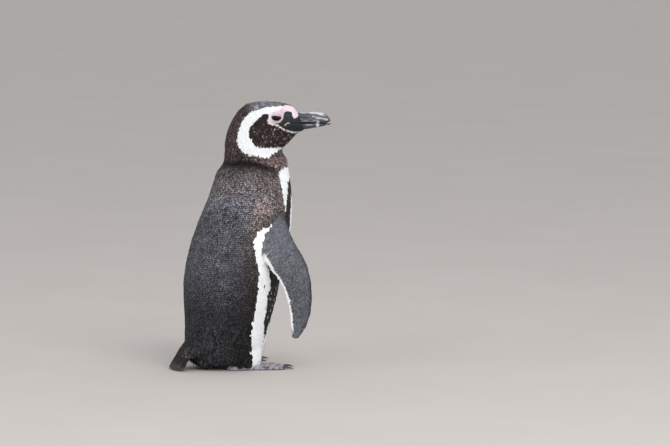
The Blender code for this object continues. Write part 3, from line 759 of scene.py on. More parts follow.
class Finish:
    """A material round one Principled shader. Uniform values go straight on its sockets."""

    def __init__(self, name, **fixed):
        self.material = bpy.data.materials.new(name)
        self.material.use_nodes = True
        self.tree = self.material.node_tree
        self.shader = self.tree.nodes["Principled BSDF"]
        for socket, value in fixed.items():
            self.shader.inputs[socket.replace("_", " ")].default_value = value
        spot = self.value("TexCoord", output="Object")
        self.spot = self.lighten(spot, 1000.0)  # object coordinates in millimetres

    def value(self, kind, settings=None, inputs=None, output=0):
        return Shade(self.tree, add_node(self.tree, "ShaderNode" + kind, settings, inputs)[output])

    def attribute(self, name, output="Fac"):
        return self.value("Attribute", {"attribute_name": name}, None, output)

    def noise(self, scale, detail=3.0, rough=0.55, at=None):
        inputs = {"Vector": at or self.spot, "Scale": scale, "Detail": detail, "Roughness": rough}
        return self.value("TexNoise", None, inputs, "Fac")

    def cells(self, scale, feature="F1"):
        inputs = {"Vector": self.spot, "Scale": scale}
        return self.value("TexVoronoi", {"feature": feature}, inputs, "Distance")

    def mix(self, factor, first, second):
        """A colour between two, by a factor."""
        first, second = ((*item, 1.0) if isinstance(item, tuple) else item for item in (first, second))
        settings = {"data_type": "RGBA", "blend_type": "MIX"}
        return self.value("Mix", settings, {0: factor, 6: first, 7: second}, 2)

    def lighten(self, colour, factor):
        """A colour times a value."""
        return self.value("VectorMath", {"operation": "SCALE"}, {0: colour, "Scale": factor})

    def ramp(self, factor, low, high):
        """0 to 1 as the value goes from low to high, eased."""
        inputs = {"Value": factor, "From Min": low, "From Max": high}
        return self.value("MapRange", {"interpolation_type": "SMOOTHSTEP"}, inputs)

    def finish(self, colour, roughness, height, distance, strength):
        """Feeds what varies over the surface into the shader, its bump as a height times metres."""
        normal = self.value("Bump", None, {"Height": height, "Distance": distance, "Strength": strength})
        for name, value in (("Base Color", colour), ("Roughness", roughness), ("Normal", normal)):
            self.tree.links.new(value.socket, self.shader.inputs[name])
        return self.material


def plumage_finish(name, roughness=0.62, contrast=1.0):
    """Feathers: dark bases, pale tips and fine barbs on dark feathers, and nearly even white ones."""
    made = Finish(name, Specular_IOR_Level=0.15)
    along, across = made.attribute("along"), made.attribute("across").size()
    dark = made.ramp(made.attribute("tint"), 0.45, 0.22)
    barbs = (across * 9.0 - along * 26.0).sine() * 0.5 + 0.5
    tip = made.ramp(along, 0.66, 0.92)
    middle = 1.0 - made.ramp(across, 0.15, 0.85)
    tone = tip * (1.0 + middle * 0.6) - 0.52 + barbs * 0.08 + made.noise(0.45, 2.0) * 0.30 - 0.14
    tone = 1.0 + tone * (dark * contrast) - made.ramp(along, 0.45, 0.05) * 0.15
    rough = roughness - 0.10 + made.noise(1.3, 2.0) * 0.22
    height = barbs * 0.6 + made.noise(5.0, 2.0)
    return made.finish(made.lighten(made.attribute("tint", "Color"), tone), rough, height, 0.00012, 0.5)


def skin_finish():
    """Skin: soft pink and dark bare skin with fine creases and painted shade in them, scaly feet."""
    made = Finish("bare_skin", Specular_IOR_Level=0.25)
    scaly = made.attribute("scaly")
    pores = made.cells(0.9)
    creases = made.noise(0.55, 4.0, 0.6)
    plates = made.ramp(made.cells(0.72, "DISTANCE_TO_EDGE"), 0.0, 0.20)
    dark = made.ramp(made.attribute("tint"), 0.14, 0.04)
    # The tone follows the creases' bump: painted shade in the creases and painted light between them, much
    # stronger on dark skin.
    tone = 0.88 + creases * 0.24 - (1.0 - plates) * scaly * 0.30 + pores * 0.05
    tone = tone + (creases - 0.45) * dark * 2.2
    rough = 0.62 - creases * 0.18 + scaly * 0.06
    height = pores * 0.25 + creases * 0.7 + plates * scaly * 1.4
    return made.finish(made.lighten(made.attribute("tint", "Color"), tone), rough, height, 0.00035, 0.8)


def bill_finish():
    """Horn of the bill: growth lines, scrapes and a dull polish."""
    made = Finish("horn_of_bill", Specular_IOR_Level=0.55, Coat_Weight=0.15, Coat_Roughness=0.25)
    stretched = {0: made.attribute("length") * 0.09, 1: made.attribute("height") * 1.1, 2: 0.0}
    lines = made.noise(1.0, 5.0, 0.6, made.value("CombineXYZ", None, stretched))
    flakes = made.noise(0.35, 4.0)
    colour = made.lighten(made.attribute("tint", "Color"), 0.55 + lines * 0.70 + flakes * 0.25)
    scrapes = made.ramp(lines, 0.60, 0.74) * made.ramp(flakes, 0.42, 0.62) * 0.25
    colour = made.mix(scrapes, colour, (0.34, 0.35, 0.40))
    return made.finish(colour, 0.28 + flakes * 0.20 + lines * 0.12, lines * 1.0 + flakes * 0.6, 0.0005, 0.7)


def claw_finish():
    """Dark horn with lengthwise scratches."""
    made = Finish("horn_of_claws", Specular_IOR_Level=0.5)
    grain = made.noise(0.8, 4.0)
    return made.finish(made.mix(grain, (0.022, 0.020, 0.021), (0.10, 0.085, 0.08)), 0.3 + grain * 0.25,
                       grain, 0.0003, 0.6)


def eye_finish():
    """Dark red-brown iris round a black pupil under a wet surface."""
    made = Finish("wet_eye", Coat_Weight=0.14, Coat_Roughness=0.04, Specular_IOR_Level=0.08)
    out = made.attribute("out")  # millimetres from the middle of the pupil
    fibre = made.noise(1.6, 4.0, 0.7)
    iris = made.mix(made.ramp(out, 3.0, 6.6), (0.014, 0.003, 0.003), (0.050, 0.009, 0.010))
    iris = made.lighten(iris, 0.6 + fibre * 0.8)
    colour = made.mix(made.ramp(out, 2.8, 3.3), (0.002, 0.002, 0.002), iris)
    colour = made.mix(made.ramp(out, 7.4, 8.4), colour, (0.012, 0.007, 0.007))
    return made.finish(colour, 0.10 + fibre * 0.06, fibre, 0.0001, 0.2)


def floor_finish():
    """A pale matt floor with a faint grain."""
    made = Finish("pale_floor", Specular_IOR_Level=0.2)
    grain = made.noise(0.004, 3.0)
    return made.finish(made.mix(grain, (0.50, 0.455, 0.42), (0.55, 0.505, 0.47)), 0.85 + grain * 0.1,
                       made.noise(0.05, 2.0), 0.001, 0.15)


# ---------------------------------------------------------------- making pieces

def link(name, data):
    """A new object in the scene."""
    made = bpy.data.objects.new(name, data)
    bpy.context.scene.collection.objects.link(made)
    return made


def new_piece(name, mesh, finish=None, replaced=()):
    """A piece of the bird that rides on its body. With a finish it is also shaded smooth."""
    if finish:
        mesh.materials.clear()
        mesh.materials.append(finish)
        mesh.polygons.foreach_set("use_smooth", np.ones(len(mesh.polygons), bool))
    piece = link(name, mesh)
    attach(piece, "root")
    if replaced:
        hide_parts(*replaced)


def mesh_of(bm, name):
    """A mesh of a bmesh, which is then freed."""
    mesh = bpy.data.meshes.new(name)
    bm.to_mesh(mesh)
    bm.free()
    return mesh


def modified(mesh, kind, settings, inputs=None):
    """The mesh that a modifier makes of another."""
    source = link("source", mesh)
    modifier = source.modifiers.new(kind, kind)
    for name, value in settings.items():
        setattr(modifier, name, value)
    for key, value in (inputs or {}).items():
        modifier[key] = value
    bpy.context.view_layer.update()
    graph = bpy.context.evaluated_depsgraph_get()
    made = bpy.data.meshes.new_from_object(source.evaluated_get(graph), preserve_all_data_layers=True,
                                           depsgraph=graph)
    bpy.data.objects.remove(source)
    return made


def write_attribute(mesh, name, kind, values):
    """Stores one value for each point."""
    field = {"FLOAT": "value", "FLOAT_VECTOR": "vector", "FLOAT_COLOR": "color"}[kind]
    if kind == "FLOAT_COLOR":
        values = np.hstack([values, np.ones((len(values), 1))])
    made = mesh.attributes.new(name, kind, "POINT")
    made.data.foreach_set(field, np.ascontiguousarray(values, np.float32).ravel())


def merged_copy(name, growth=0.0):
    """A CAD node as a bmesh with its points joined, grown by millimetres."""
    bm = bmesh.new()
    bm.from_mesh(NODES[name].data)
    bmesh.ops.remove_doubles(bm, verts=bm.verts, dist=1e-6)
    bm.normal_update()
    moves = [(vert, vert.normal * growth * MM) for vert in bm.verts]
    for vert, move in moves:
        vert.co += move
    return bm


def relax(values, edges, rounds, pace=0.5, hold=None):
    """Moves each row of values towards the mean of its neighbours."""
    count = len(values)
    first, second = edges.T
    degree = np.maximum(np.bincount(first, minlength=count) + np.bincount(second, minlength=count), 1)
    values = values.reshape(count, -1).copy()
    for _ in range(rounds):
        mean = np.stack([
            np.bincount(first, column[second], count) + np.bincount(second, column[first], count)
            for column in values.T
        ], axis=1) / degree[:, None]
        step = (mean - values) * pace
        values += step if hold is None else times(step, hold)
    return values


def place_points(mesh, points):
    """Moves a mesh's points."""
    mesh.vertices.foreach_set("co", points.astype(np.float32).ravel())
    mesh.update()


def fused_flesh(voxel):
    """Every solid of flesh, with the eyes and the root of the bill, fused into one closed mesh."""
    whole = bmesh.new()
    for name in FLESH + ("eye_right", "eye_left", "bill_upper", "bill_lower"):
        copy = merged_copy(name, GROWTH)
        if name.startswith("bill"):
            near, far = to_world(np.array([(BILL_CORE_F, 0, 410), (BILL_CORE_F + 10, 0, 410)]))
            geometry = copy.verts[:] + copy.edges[:] + copy.faces[:]
            cut = bmesh.ops.bisect_plane(copy, geom=geometry, plane_co=near, plane_no=far - near,
                                         clear_outer=True)
            rim = [item for item in cut["geom_cut"] if isinstance(item, bmesh.types.BMEdge)]
            bmesh.ops.edgeloop_fill(copy, edges=rim)
        part = mesh_of(copy, "part")
        whole.from_mesh(part)
        bpy.data.meshes.remove(part)
    bmesh.ops.recalc_face_normals(whole, faces=whole.faces)
    return modified(mesh_of(whole, "skin"), "REMESH", {"mode": "VOXEL", "voxel_size": voxel * MM})


def settle(mesh, hues):
    """Smooths the fused flesh, draws it in under the coat and shapes the fold of the neck."""
    points, edges = vertices_of(mesh), edges_of(mesh)
    regions = region_numbers(points)
    depths, softness = np.array(list(REGIONS.values()))[regions].T
    pace = relax(softness, edges, 8)[:, 0]
    smooth = relax(points, edges, 80, 0.6, pace)
    place_points(mesh, smooth)
    normals = relax(normals_of(mesh), edges, 4)
    sunk = relax(((smooth - points) * normals).sum(1), edges, 40, 0.6, pace)
    points = smooth - unit(normals) * sunk
    place_points(mesh, points)
    normals = unit(relax(normals_of(mesh), edges, 3))
    _, bare = paint(points, regions, hues, np.zeros(len(points)))
    depth = relax(depths * (1.0 - bare * (regions < BILL)), edges, 3)[:, 0]
    inward = cast(search_tree(points, triangles_of(mesh)), points - normals * 2e-5, -normals)
    thickness = np.linalg.norm(inward - points, axis=1) / MM
    thickness = relax(np.nan_to_num(thickness, nan=50.0), edges, 2)[:, 0]
    depth = np.minimum(depth + 0.9 * GROWTH, np.where(regions >= BILL, 0.45, 0.28) * thickness)
    points = points - normals * depth[:, None] * MM
    bird = to_bird(points)
    fold, z = bird[:, 2] - neck_fold(bird), bird[:, 2]
    turn = np.abs(round_the_body(bird)[0])
    amount = ease(turn, 35.0, 80.0) * ease(turn, 175.0, 130.0) * (regions <= NECK)
    crease = -4.2 * bell(fold, -3.5, 4.5) + 2.4 * bell(fold, 5.0, 4.5)
    throat = 2.6 * bell(z, 349.0, 11.0) * ease(turn, 75.0, 25.0) * (regions <= HEAD)
    points = points + normals * (crease * amount + throat)[:, None] * MM
    points[:, 2] = np.maximum(points[:, 2], 0.0)
    points[np.isin(regions, FEET) & (points[:, 2] < 0.9 * MM), 2] = 0.0  # flat soles
    place_points(mesh, points)


def refine(mesh, marked, rounds):
    """Splits the faces whose points are all marked."""
    for _ in range(rounds):
        bm = bmesh.new()
        bm.from_mesh(mesh)
        marks = marked(vertices_of(mesh))
        bm.verts.ensure_lookup_table()
        faces = [face for face in bm.faces if all(marks[vert.index] for vert in face.verts)]
        edges = list({edge for face in faces for edge in face.edges})
        bmesh.ops.subdivide_edges(bm, edges=edges, cuts=1, use_grid_fill=True)
        bmesh.ops.triangulate(bm, faces=[face for face in bm.faces if len(face.verts) > 4])
        bm.to_mesh(mesh)
        bm.free()
        mesh.update()


def near_face(points):
    """Marks the bare face and a margin round it."""
    bird = to_bird(points)
    marks = np.zeros(len(points), bool)
    spots = np.where((bird[:, 2] > 388.0) & (bird[:, 0] > NECK_AXIS_F + 14.0))[0]
    pink_by, lores_by, _ = bare_by(bird[spots])
    marks[spots] = np.maximum(pink_by, lores_by) > -3.5
    return marks


def near_feet(points):
    """Marks the feet."""
    x, y, z = points.T
    return (z < 14.0 * MM) & (y < ORIGIN_F * MM + 20 * MM) & (np.abs(x) > 8 * MM)


def sculpt_face(mesh):
    """Lids round each eye, the folds outside them and the groove behind the gape."""
    points = vertices_of(mesh)
    fine = near_face(points)
    bird = to_bird(relax(points, edges_of(mesh), 26, 0.5, fine.astype(float)))
    rim, sunk = EYE_RADIUS + LID_THICKNESS, EYE_RADIUS - 3.0
    for tag, side in SIDES:
        centre = to_bird(np.array([middle_of("eye_" + tag)]))[0]
        offset = bird - centre
        across, out, up = offset[:, 0], offset[:, 1] * side, offset[:, 2]
        reach = np.hypot(across, up)
        distance = np.maximum(np.linalg.norm(offset, axis=1), 1e-6)
        opening = lid_opening(across, up)
        wanted = np.where(distance < rim, rim, distance + (rim - distance) * 0.55 * ease(reach, 12.0, 8.0))
        target = distance + (wanted - distance) * ease(reach, 13.5, 7.5)
        target += 0.35 * bell(opening, -0.8, 0.6) * (opening < 0.2)
        target -= 0.45 * bell(opening, -2.6, 0.55)
        target -= 0.25 * bell(opening, -4.4, 0.5) * (up > 0)
        target += 0.35 * bell(eye_ring(across, up), 0.90, 0.09)
        target = np.where(opening > 0.0, target + (sunk - target) * ease(opening, 0.0, 0.75), target)
        near = (out > 0.0) & (reach < 19.0) & (distance < 24.0)
        bird = centre + times(offset, np.where(near, target / distance, 1.0))
    p, q, z = bird[:, 0] - NECK_AXIS_F, np.abs(bird[:, 1]), bird[:, 2]
    groove = 1.1 * bell(distance_to_line(GAPE_LINE, p, z), 0.0, 0.8) * (p < 75) * (p > 46) * (q > 5)
    bird[:, 1] -= np.sign(bird[:, 1]) * groove * fine
    bird[:, 1] += np.sign(bird[:, 1]) * 0.12 * waves(bird, 2.2, 71) * fine * (p > 14)
    place_points(mesh, to_world(bird))


def skin_tree():
    """A search tree over the finished skin, and the region and smoothed normal of each of its triangles."""
    mesh = bpy.data.objects["skin"].data
    points, triangles = vertices_of(mesh), triangles_of(mesh)
    numbers = read(mesh.attributes["region"].data, "value", 1, np.float32)[triangles[:, 0], 0]
    normals = relax(normals_of(mesh), edges_of(mesh), 8)
    faces = unit(normals[triangles].mean(axis=1))
    return search_tree(points, triangles), numbers.round().astype(int), faces


# ---------------------------------------------------------------- rows of feathers

def body_rays(count):
    """Middles of sections up the body and their axes towards the belly and the right side."""
    line = np.array(BODY_LINE)
    f, z, tilt = resampled(line, lengths_along(line[:, :2]), count).T
    tilt = np.radians(tilt)
    belly = np.stack([np.cos(tilt), 0 * f, -np.sin(tilt)], axis=1)
    return np.stack([f, 0 * f, z], axis=1), belly, np.tile((0.0, 1.0, 0.0), (count, 1))


def limb_rays(points, first, second, count):
    """The same along a line of (f, r, z) points, with axes square to it."""
    line = np.array(points, float)
    middle = resampled(line, lengths_along(line), count)
    along = unit(np.gradient(middle, axis=0))
    one = unit(first - along * (along @ first)[:, None])
    return middle, one * np.linalg.norm(first), np.cross(one, along) * second


def surface_grid(tree, rays, sides):
    """Where rays round each section leave the skin: an array of rings of (f, r, z) points."""
    angles = np.linspace(0.0, 2.0 * math.pi, sides, endpoint=False)[:, None]
    rings = []
    for centre, first, second in zip(*rays):
        around = np.cos(angles) * first + np.sin(angles) * second
        origins = to_world(np.tile(centre, (sides, 1)))
        hits = cast(tree, origins, unit(to_world(centre + around * 0.5) - origins))
        rings.append(np.where(np.isnan(hits), origins, hits))
    return to_bird(np.vstack(rings)).reshape(len(rings), sides, 3)


def feather_rows(skin, rays, sides, pitch, seed):
    """Roots in staggered rows over the rings that the rays meet, with the way towards the ring before each.

    pitch gives the spacing of rows and along them at (f, r, z) points."""
    grid = surface_grid(skin[0], rays, sides)
    rng = np.random.default_rng(seed)
    count = len(grid)
    flat_pitch = pitch(grid.reshape(-1, 3)).reshape(count, sides, 2)
    gaps = np.linalg.norm(np.diff(grid, axis=0), axis=2) / flat_pitch[1:, :, 0]
    advance = running(np.percentile(gaps, 85, axis=1))
    roots, heads, places = [], [], []
    for number, at in enumerate(np.arange(0.4, advance[-1], 1.0)):
        level = np.interp(at, advance, np.arange(count))
        low = min(int(level), count - 2)
        share = level - low
        ring = grid[low] * (1 - share) + grid[low + 1] * share
        ahead = grid[min(low + 2, count - 1)] - grid[max(low - 1, 0)]
        wide = flat_pitch[low, :, 1]
        closed = np.vstack([ring, ring[:1]])
        around = running(np.linalg.norm(np.diff(closed, axis=0), axis=1) / (wide + np.roll(wide, -1)) * 2.0)
        total = max(int(round(around[-1])), 3)
        spots = (np.arange(total) + 0.5 * (number % 2) + rng.normal(0.0, 0.07, total)) % total
        columns = np.interp(spots / total * around[-1], around, np.arange(sides + 1))
        index = np.minimum(columns.astype(int), sides - 1)
        part = (columns - index)[:, None]
        slip = rng.normal(0.0, 0.09, total)[:, None]
        way, root = (item[index] * (1 - part) + item[(index + 1) % sides] * part for item in (ahead, ring))
        roots.append(root + unit(way) * slip * flat_pitch[low, index, :1])
        heads.append(-way)
        places.append(np.stack([columns / sides, np.full(total, at / advance[-1])], axis=1))
    return np.vstack(roots), np.vstack(heads), np.vstack(places)


NEIGHBOURS = [(x - 1, y - 1, z - 1) for x, y, z in np.ndindex(3, 3, 3)]


def thinned(points, reach):
    """Marks points in order, leaving out any nearer than its reach to one already kept."""
    size = float(reach.max())
    cells, keep = {}, np.zeros(len(points), bool)
    for index, (point, near) in enumerate(zip(points.tolist(), (reach ** 2).tolist())):
        x, y, z = (math.floor(value / size) for value in point)
        around = (cells.get((x + dx, y + dy, z + dz), ()) for dx, dy, dz in NEIGHBOURS)
        if all(sum((a - b) ** 2 for a, b in zip(point, other)) >= near for cell in around for other in cell):
            keep[index] = True
            cells.setdefault((x, y, z), []).append(point)
    return keep


class Roots:
    """Roots of feathers on the skin: place, face, lie, size, map place, colour."""

    def __init__(self, skin, found, pitch, allowed, sizes, hues, seed, chart, turn=None, uneven=0.22,
                 reach=0.0035):
        _, owners, facing = skin
        points, heads, places = found
        spots, faces, gaps = nearest_on(skin[0], to_world(points))
        regions, normals = owners[faces], facing[faces]
        heads = to_world(points + heads * 0.2) - to_world(points)
        if turn is not None:
            heads = turn(heads, points)
        flat = heads - normals * (heads * normals).sum(1)[:, None]
        lie, whole = unit(flat), np.linalg.norm(heads, axis=1)
        bird = to_bird(spots)
        z = bird[:, 2]
        local = pitch(bird)
        keep = (gaps < reach) & np.isin(regions, allowed) & (whole > 1e-6)
        keep &= np.linalg.norm(flat, axis=1) > STEEPEST * whole
        keep[keep] = thinned(bird[keep], CROWDED * local.min(axis=1)[keep])
        rng = np.random.default_rng(seed)
        jitter = rng.normal(0.0, 1.0, len(points)) * 0.22 * local.mean(axis=1)
        long, wide, thick = sizes
        length = local[:, 0] * long * rng.uniform(0.9, 1.12, len(points))
        _, bare = paint(spots, regions, hues, 0.0 * jitter)
        seen = spots + lie * (0.7 * np.minimum(length, 12.0) * MM)[:, None]
        tint, bare_tip = paint(seen, regions, hues, jitter)
        keep &= (bare < 0.3) & (bare_tip < 0.5)
        worn = 1.0 + 0.9 * ease(z, 120.0, 60.0) + 0.7 * ease(z, 225.0, 260.0)
        uneven = uneven * np.where(np.isin(regions, (NECK, HEAD)), 1.9, worn) * (tint.mean(axis=1) < 0.4)
        tint = times(tint, np.maximum(1.0 + rng.normal(0.0, 1.0, len(points)) * uneven, 0.35))
        length = np.minimum(length, np.maximum(z - CLEARANCE, 0.0) / np.maximum(-lie[:, 2], 1e-6))
        keep &= length > 0.5 * local[:, 0] * long
        low_u, high_u, low_v, high_v = chart
        u, v = low_u + (high_u - low_u) * places[:, 0], low_v + (high_v - low_v) * places[:, 1]
        thickness = thick * local[:, 0] / THICKNESS_PITCH
        self.data = {
            "place": spots - normals * (ROOT_DEPTH * MM), "face": normals, "lie": lie,
            "size": np.stack([local[:, 1] * wide, length, thickness], axis=1) * MM,
            "chart": np.stack([u, v, 0 * u], axis=1), "tint": np.clip(tint, 0.003, 0.95),
        }
        self.bird, self.regions, self.keep = bird, regions, keep

    def only(self, marks):
        """The kept roots that are also marked, as plain arrays."""
        return {name: values[self.keep & marks] for name, values in self.data.items()}


def vane_mesh():
    """One thin closed vane, 1 long and 1 wide, with its ridge up."""
    bm = bmesh.new()
    along, across = (bm.verts.layers.float.new(name) for name in ("along", "across"))
    spot = bm.verts.layers.float_vector.new("spot")

    def vert(x, y, z):
        made = bm.verts.new((x, y, z))
        made[along], made[across], made[spot] = y, 2.0 * x, (x, y - 0.5, 0.0)
        return made

    rows = [(vert(-half, y, 0.0), vert(0.0, y, ridge), vert(half, y, 0.0)) for y, half, ridge in VANE_RINGS]
    tip = vert(0.0, *VANE_TIP)
    bm.faces.new(rows[0])
    for lower, upper in zip(rows, rows[1:]):
        for index, after in ((0, 1), (1, 2), (2, 0)):
            bm.faces.new((lower[index], lower[after], upper[after], upper[index]))
    for index, after in ((0, 1), (1, 2), (2, 0)):
        bm.faces.new((rows[-1][index], rows[-1][after], tip))
    bmesh.ops.recalc_face_normals(bm, faces=bm.faces)
    return mesh_of(bm, "vane")


def plumage_tree():
    """Geometry nodes that set a vane at each root, lift it along its lie and make one mesh."""
    tree = bpy.data.node_groups.new("plumage", "GeometryNodeTree")
    tree.interface.new_socket("Roots", in_out="INPUT", socket_type="NodeSocketGeometry")
    for name, kind in (("Vane", "Object"), ("Lift", "Float"), ("Ruffle", "Float"), ("Patch", "Float"),
                       ("Seed", "Int"), ("Finish", "Material")):
        tree.interface.new_socket(name, in_out="INPUT", socket_type="NodeSocket" + kind)
    tree.interface.new_socket("Coat", in_out="OUTPUT", socket_type="NodeSocketGeometry")
    given = add_node(tree, "NodeGroupInput")

    def geometry(kind, settings, inputs):
        return add_node(tree, "GeometryNode" + kind, settings, inputs)[0]

    def maths(operation, first, second, kind="ShaderNodeMath"):
        return add_node(tree, kind, {"operation": operation}, {0: first, 1: second})[0]

    def named(name):
        return geometry("InputNamedAttribute", {"data_type": "FLOAT_VECTOR"}, {"Name": name})

    def spread(offset):
        """A random angle within the ruffle, on either side."""
        inputs = {2: maths("MULTIPLY", given["Ruffle"], -1.0), 3: given["Ruffle"],
                  "Seed": maths("ADD", given["Seed"], offset, "FunctionNodeIntegerMath")}
        return add_node(tree, "FunctionNodeRandomValue", {"data_type": "FLOAT"}, inputs)[1]

    stance = add_node(tree, "FunctionNodeAxesToRotation", {"primary_axis": "Z", "secondary_axis": "Y"},
                      {"Primary Axis": named("face"), "Secondary Axis": named("lie")})[0]
    angles = {0: maths("ADD", given["Lift"], spread(1)), 1: spread(2), 2: maths("MULTIPLY", spread(3), 2.0)}
    tilt = add_node(tree, "FunctionNodeEulerToRotation", None,
                    {0: add_node(tree, "ShaderNodeCombineXYZ", None, angles)[0]})[0]
    stance = add_node(tree, "FunctionNodeRotateRotation", {"rotation_space": "LOCAL"},
                      {"Rotation": stance, "Rotate By": tilt})[0]
    vane = add_node(tree, "GeometryNodeObjectInfo", {"transform_space": "ORIGINAL"},
                    {"Object": given["Vane"]})
    coat = geometry("InstanceOnPoints", None, {"Points": given["Roots"], "Instance": vane["Geometry"],
                                               "Rotation": stance, "Scale": named("size")})
    coat = geometry("RealizeInstances", None, {"Geometry": coat})
    patch = add_node(tree, "ShaderNodeVectorMath", {"operation": "SCALE"},
                     {0: named("spot"), "Scale": given["Patch"]})[0]
    chart = maths("ADD", named("chart"), patch, "ShaderNodeVectorMath")
    coat = geometry("StoreNamedAttribute", {"data_type": "FLOAT2", "domain": "CORNER"},
                    {"Geometry": coat, "Name": "OFBake", "Value": chart})
    coat = geometry("SetMaterial", None, {"Geometry": coat, "Material": given["Finish"]})
    add_node(tree, "NodeGroupOutput", None, {0: coat})
    return tree


def grow_coat(name, roots, finish, lift, ruffle, seed):
    """A coat piece from its roots."""
    if not len(roots["place"]):
        raise RuntimeError(f"{name} has no roots")
    mesh = bpy.data.meshes.new(name)
    mesh.from_pydata(roots["place"].tolist(), [], [])
    for key in ("face", "lie", "size", "chart"):
        write_attribute(mesh, key, "FLOAT_VECTOR", roots[key])
    write_attribute(mesh, "tint", "FLOAT_COLOR", roots["tint"])
    vane = link("vane", bpy.data.meshes.get("vane") or vane_mesh())
    tree = bpy.data.node_groups.get("plumage") or plumage_tree()
    values = {"Vane": vane, "Lift": lift, "Ruffle": ruffle, "Patch": PATCH, "Seed": seed, "Finish": finish}
    inputs = {item.identifier: values[item.name] for item in tree.interface.items_tree if item.name in values}
    coat = modified(mesh, "NODES", {"node_group": tree}, inputs)
    bpy.data.objects.remove(vane)
    coat.name = name
    for key in ("face", "lie", "size", "chart", "spot"):
        if coat.attributes.get(key):
            coat.attributes.remove(coat.attributes[key])
    points = vertices_of(coat)
    points[:, 2] = np.maximum(points[:, 2], 0.0)
    place_points(coat, points)
    new_piece(name, coat)


# ---------------------------------------------------------------- settings

def hue(name, description, value):
    return FloatVectorProperty(name=name, description=description, subtype="COLOR", min=0.0, max=1.0,
                               default=value)


def size(name, description, value):
    return FloatProperty(name=name, description=description, default=value, min=0.01)


def angle(name, description, degrees):
    return FloatProperty(name=name, description=description, subtype="ANGLE", default=math.radians(degrees))


class PenguinHues(bpy.types.PropertyGroup):
    """Colours of the plumage and the bare parts."""

    white: hue("White", "Belly, collar and head band", (0.86, 0.87, 0.885))
    slate: hue("Slate", "Middle of the back", (0.076, 0.075, 0.088))
    brown: hue("Brown", "Worn plumage of the shoulders and flanks", (0.076, 0.061, 0.058))
    rust: hue("Rust", "Faded plumage before the shoulder", (0.200, 0.146, 0.126))
    black: hue("Black", "Breast band and tail", (0.026, 0.023, 0.023))
    neck: hue("Neck", "Front of the neck", (0.145, 0.107, 0.097))
    nape: hue("Nape", "Back of the neck and head", (0.046, 0.032, 0.031))
    # Lighter on top of the head: partly its own grey and partly painted light from above.
    crown_and_top_light: hue("Crown", "Top of the head", (0.166, 0.158, 0.176))
    cheek: hue("Cheek", "Sides of the face and chin", (0.020, 0.012, 0.011))
    flipper: hue("Flipper", "Outer side of the flippers", (0.125, 0.130, 0.150))
    pink: hue("Pink skin", "Bare skin over the eye", (0.56, 0.31, 0.40))
    pale_pink: hue("Pale skin", "Bare skin round the eye and towards the bill", (0.735, 0.60, 0.655))
    # Painted shade of the fold round the eyelids.
    lid_fold_shade: hue("Lids", "Fold round the eyelids", (0.42, 0.26, 0.30))
    lores: hue("Lores", "Bare skin before the eye", (0.011, 0.0135, 0.016))
    bill: hue("Bill", "Horn of the bill", (0.060, 0.055, 0.062))
    # The bill's pale marks and its painted highlights along the culmen and sides
    bill_pale_and_highlight: hue("Bill marks", "Pale marks on the bill", (0.54, 0.56, 0.64))
    foot: hue("Feet", "Pale skin of the feet", (0.44, 0.42, 0.47))
    foot_dark: hue("Feet mottling", "Dark skin of the feet", (0.13, 0.125, 0.145))


class PenguinSizes(bpy.types.PropertyGroup):
    """Sizes in millimetres and angles."""

    voxel: size("Skin grid", "Spacing of the skin's points in mm", 1.8)
    trunk_pitch: size("Trunk rows", "Spacing of the rows of feathers on the trunk in mm", 3.5)
    head_pitch: size("Head rows", "Spacing of the rows on the head in mm", 2.1)
    face_pitch: size("Face rows", "Spacing of the rows round the face in mm", 1.7)
    flipper_pitch: size("Flipper rows", "Spacing of the rows on the flippers in mm", 1.9)
    long: size("Length share", "Length of a feather in row spacings", 2.6)
    wide: size("Width share", "Width of a feather in its own spacing", 1.5)
    lift: angle("Lift", "How far a feather stands from the skin", 7.0)
    ruffle: angle("Ruffle", "Unevenness of the feathers", 3.0)
    seed: IntProperty(name="Seed", description="Seed of everything random", default=11, min=0)


class PenguinSettings(bpy.types.PropertyGroup):
    """All settings of the penguin."""

    hues: PointerProperty(type=PenguinHues, name="Colours", description="Colours of the bird")
    sizes: PointerProperty(type=PenguinSizes, name="Sizes", description="Sizes of skin and plumage")


def names_in(group):
    """The names of a group's own settings."""
    return [name for name in group.bl_rna.properties.keys() if name not in ("rna_type", "name")]


def chosen(context):
    """The sizes, and the colours as arrays."""
    settings = context.scene.penguin
    hues = {name: np.array(getattr(settings.hues, name)) for name in names_in(settings.hues)}
    return settings.sizes, SimpleNamespace(**hues)


def body_pitch(sizes):
    """Spacing of rows and along them over the trunk, neck and head."""
    def pitch(bird):
        p, z = bird[:, 0] - NECK_AXIS_F, bird[:, 2]
        row = sizes.trunk_pitch + (sizes.head_pitch + 0.7 - sizes.trunk_pitch) * ease(z, 295.0, 345.0)
        row = row - 0.7 * ease(z, 350.0, 380.0)
        row = row + (sizes.face_pitch - sizes.head_pitch) * ease(p, 0.0, 25.0) * ease(z, 375.0, 385.0)
        return np.stack([row, row * 0.74], axis=1)
    return pitch


def even_pitch(row, along):
    """The same spacing everywhere."""
    return lambda bird: np.tile((row, along), (len(bird), 1))


def tail_quills():
    """Roots of the stiff tail feathers in two layers, fanned out, with the way along each."""
    roots, heads = [], []
    for count, root, tip, half in QUILLS:
        for a in np.linspace(-1.0, 1.0, count):
            start = np.array((root[0] + 4.5 * a * a, half * a, root[1] - 3.5 * a * a))
            end = np.array((tip[0] + 4.5 * a * a, 1.3 * half * a, tip[1] - a * a))
            roots.append(start)
            heads.append(end - start)
    places = np.stack([np.linspace(0.0, 1.0, len(roots)), np.full(len(roots), 0.5)], axis=1)
    return np.array(roots), np.array(heads), places


# ---------------------------------------------------------------- operators

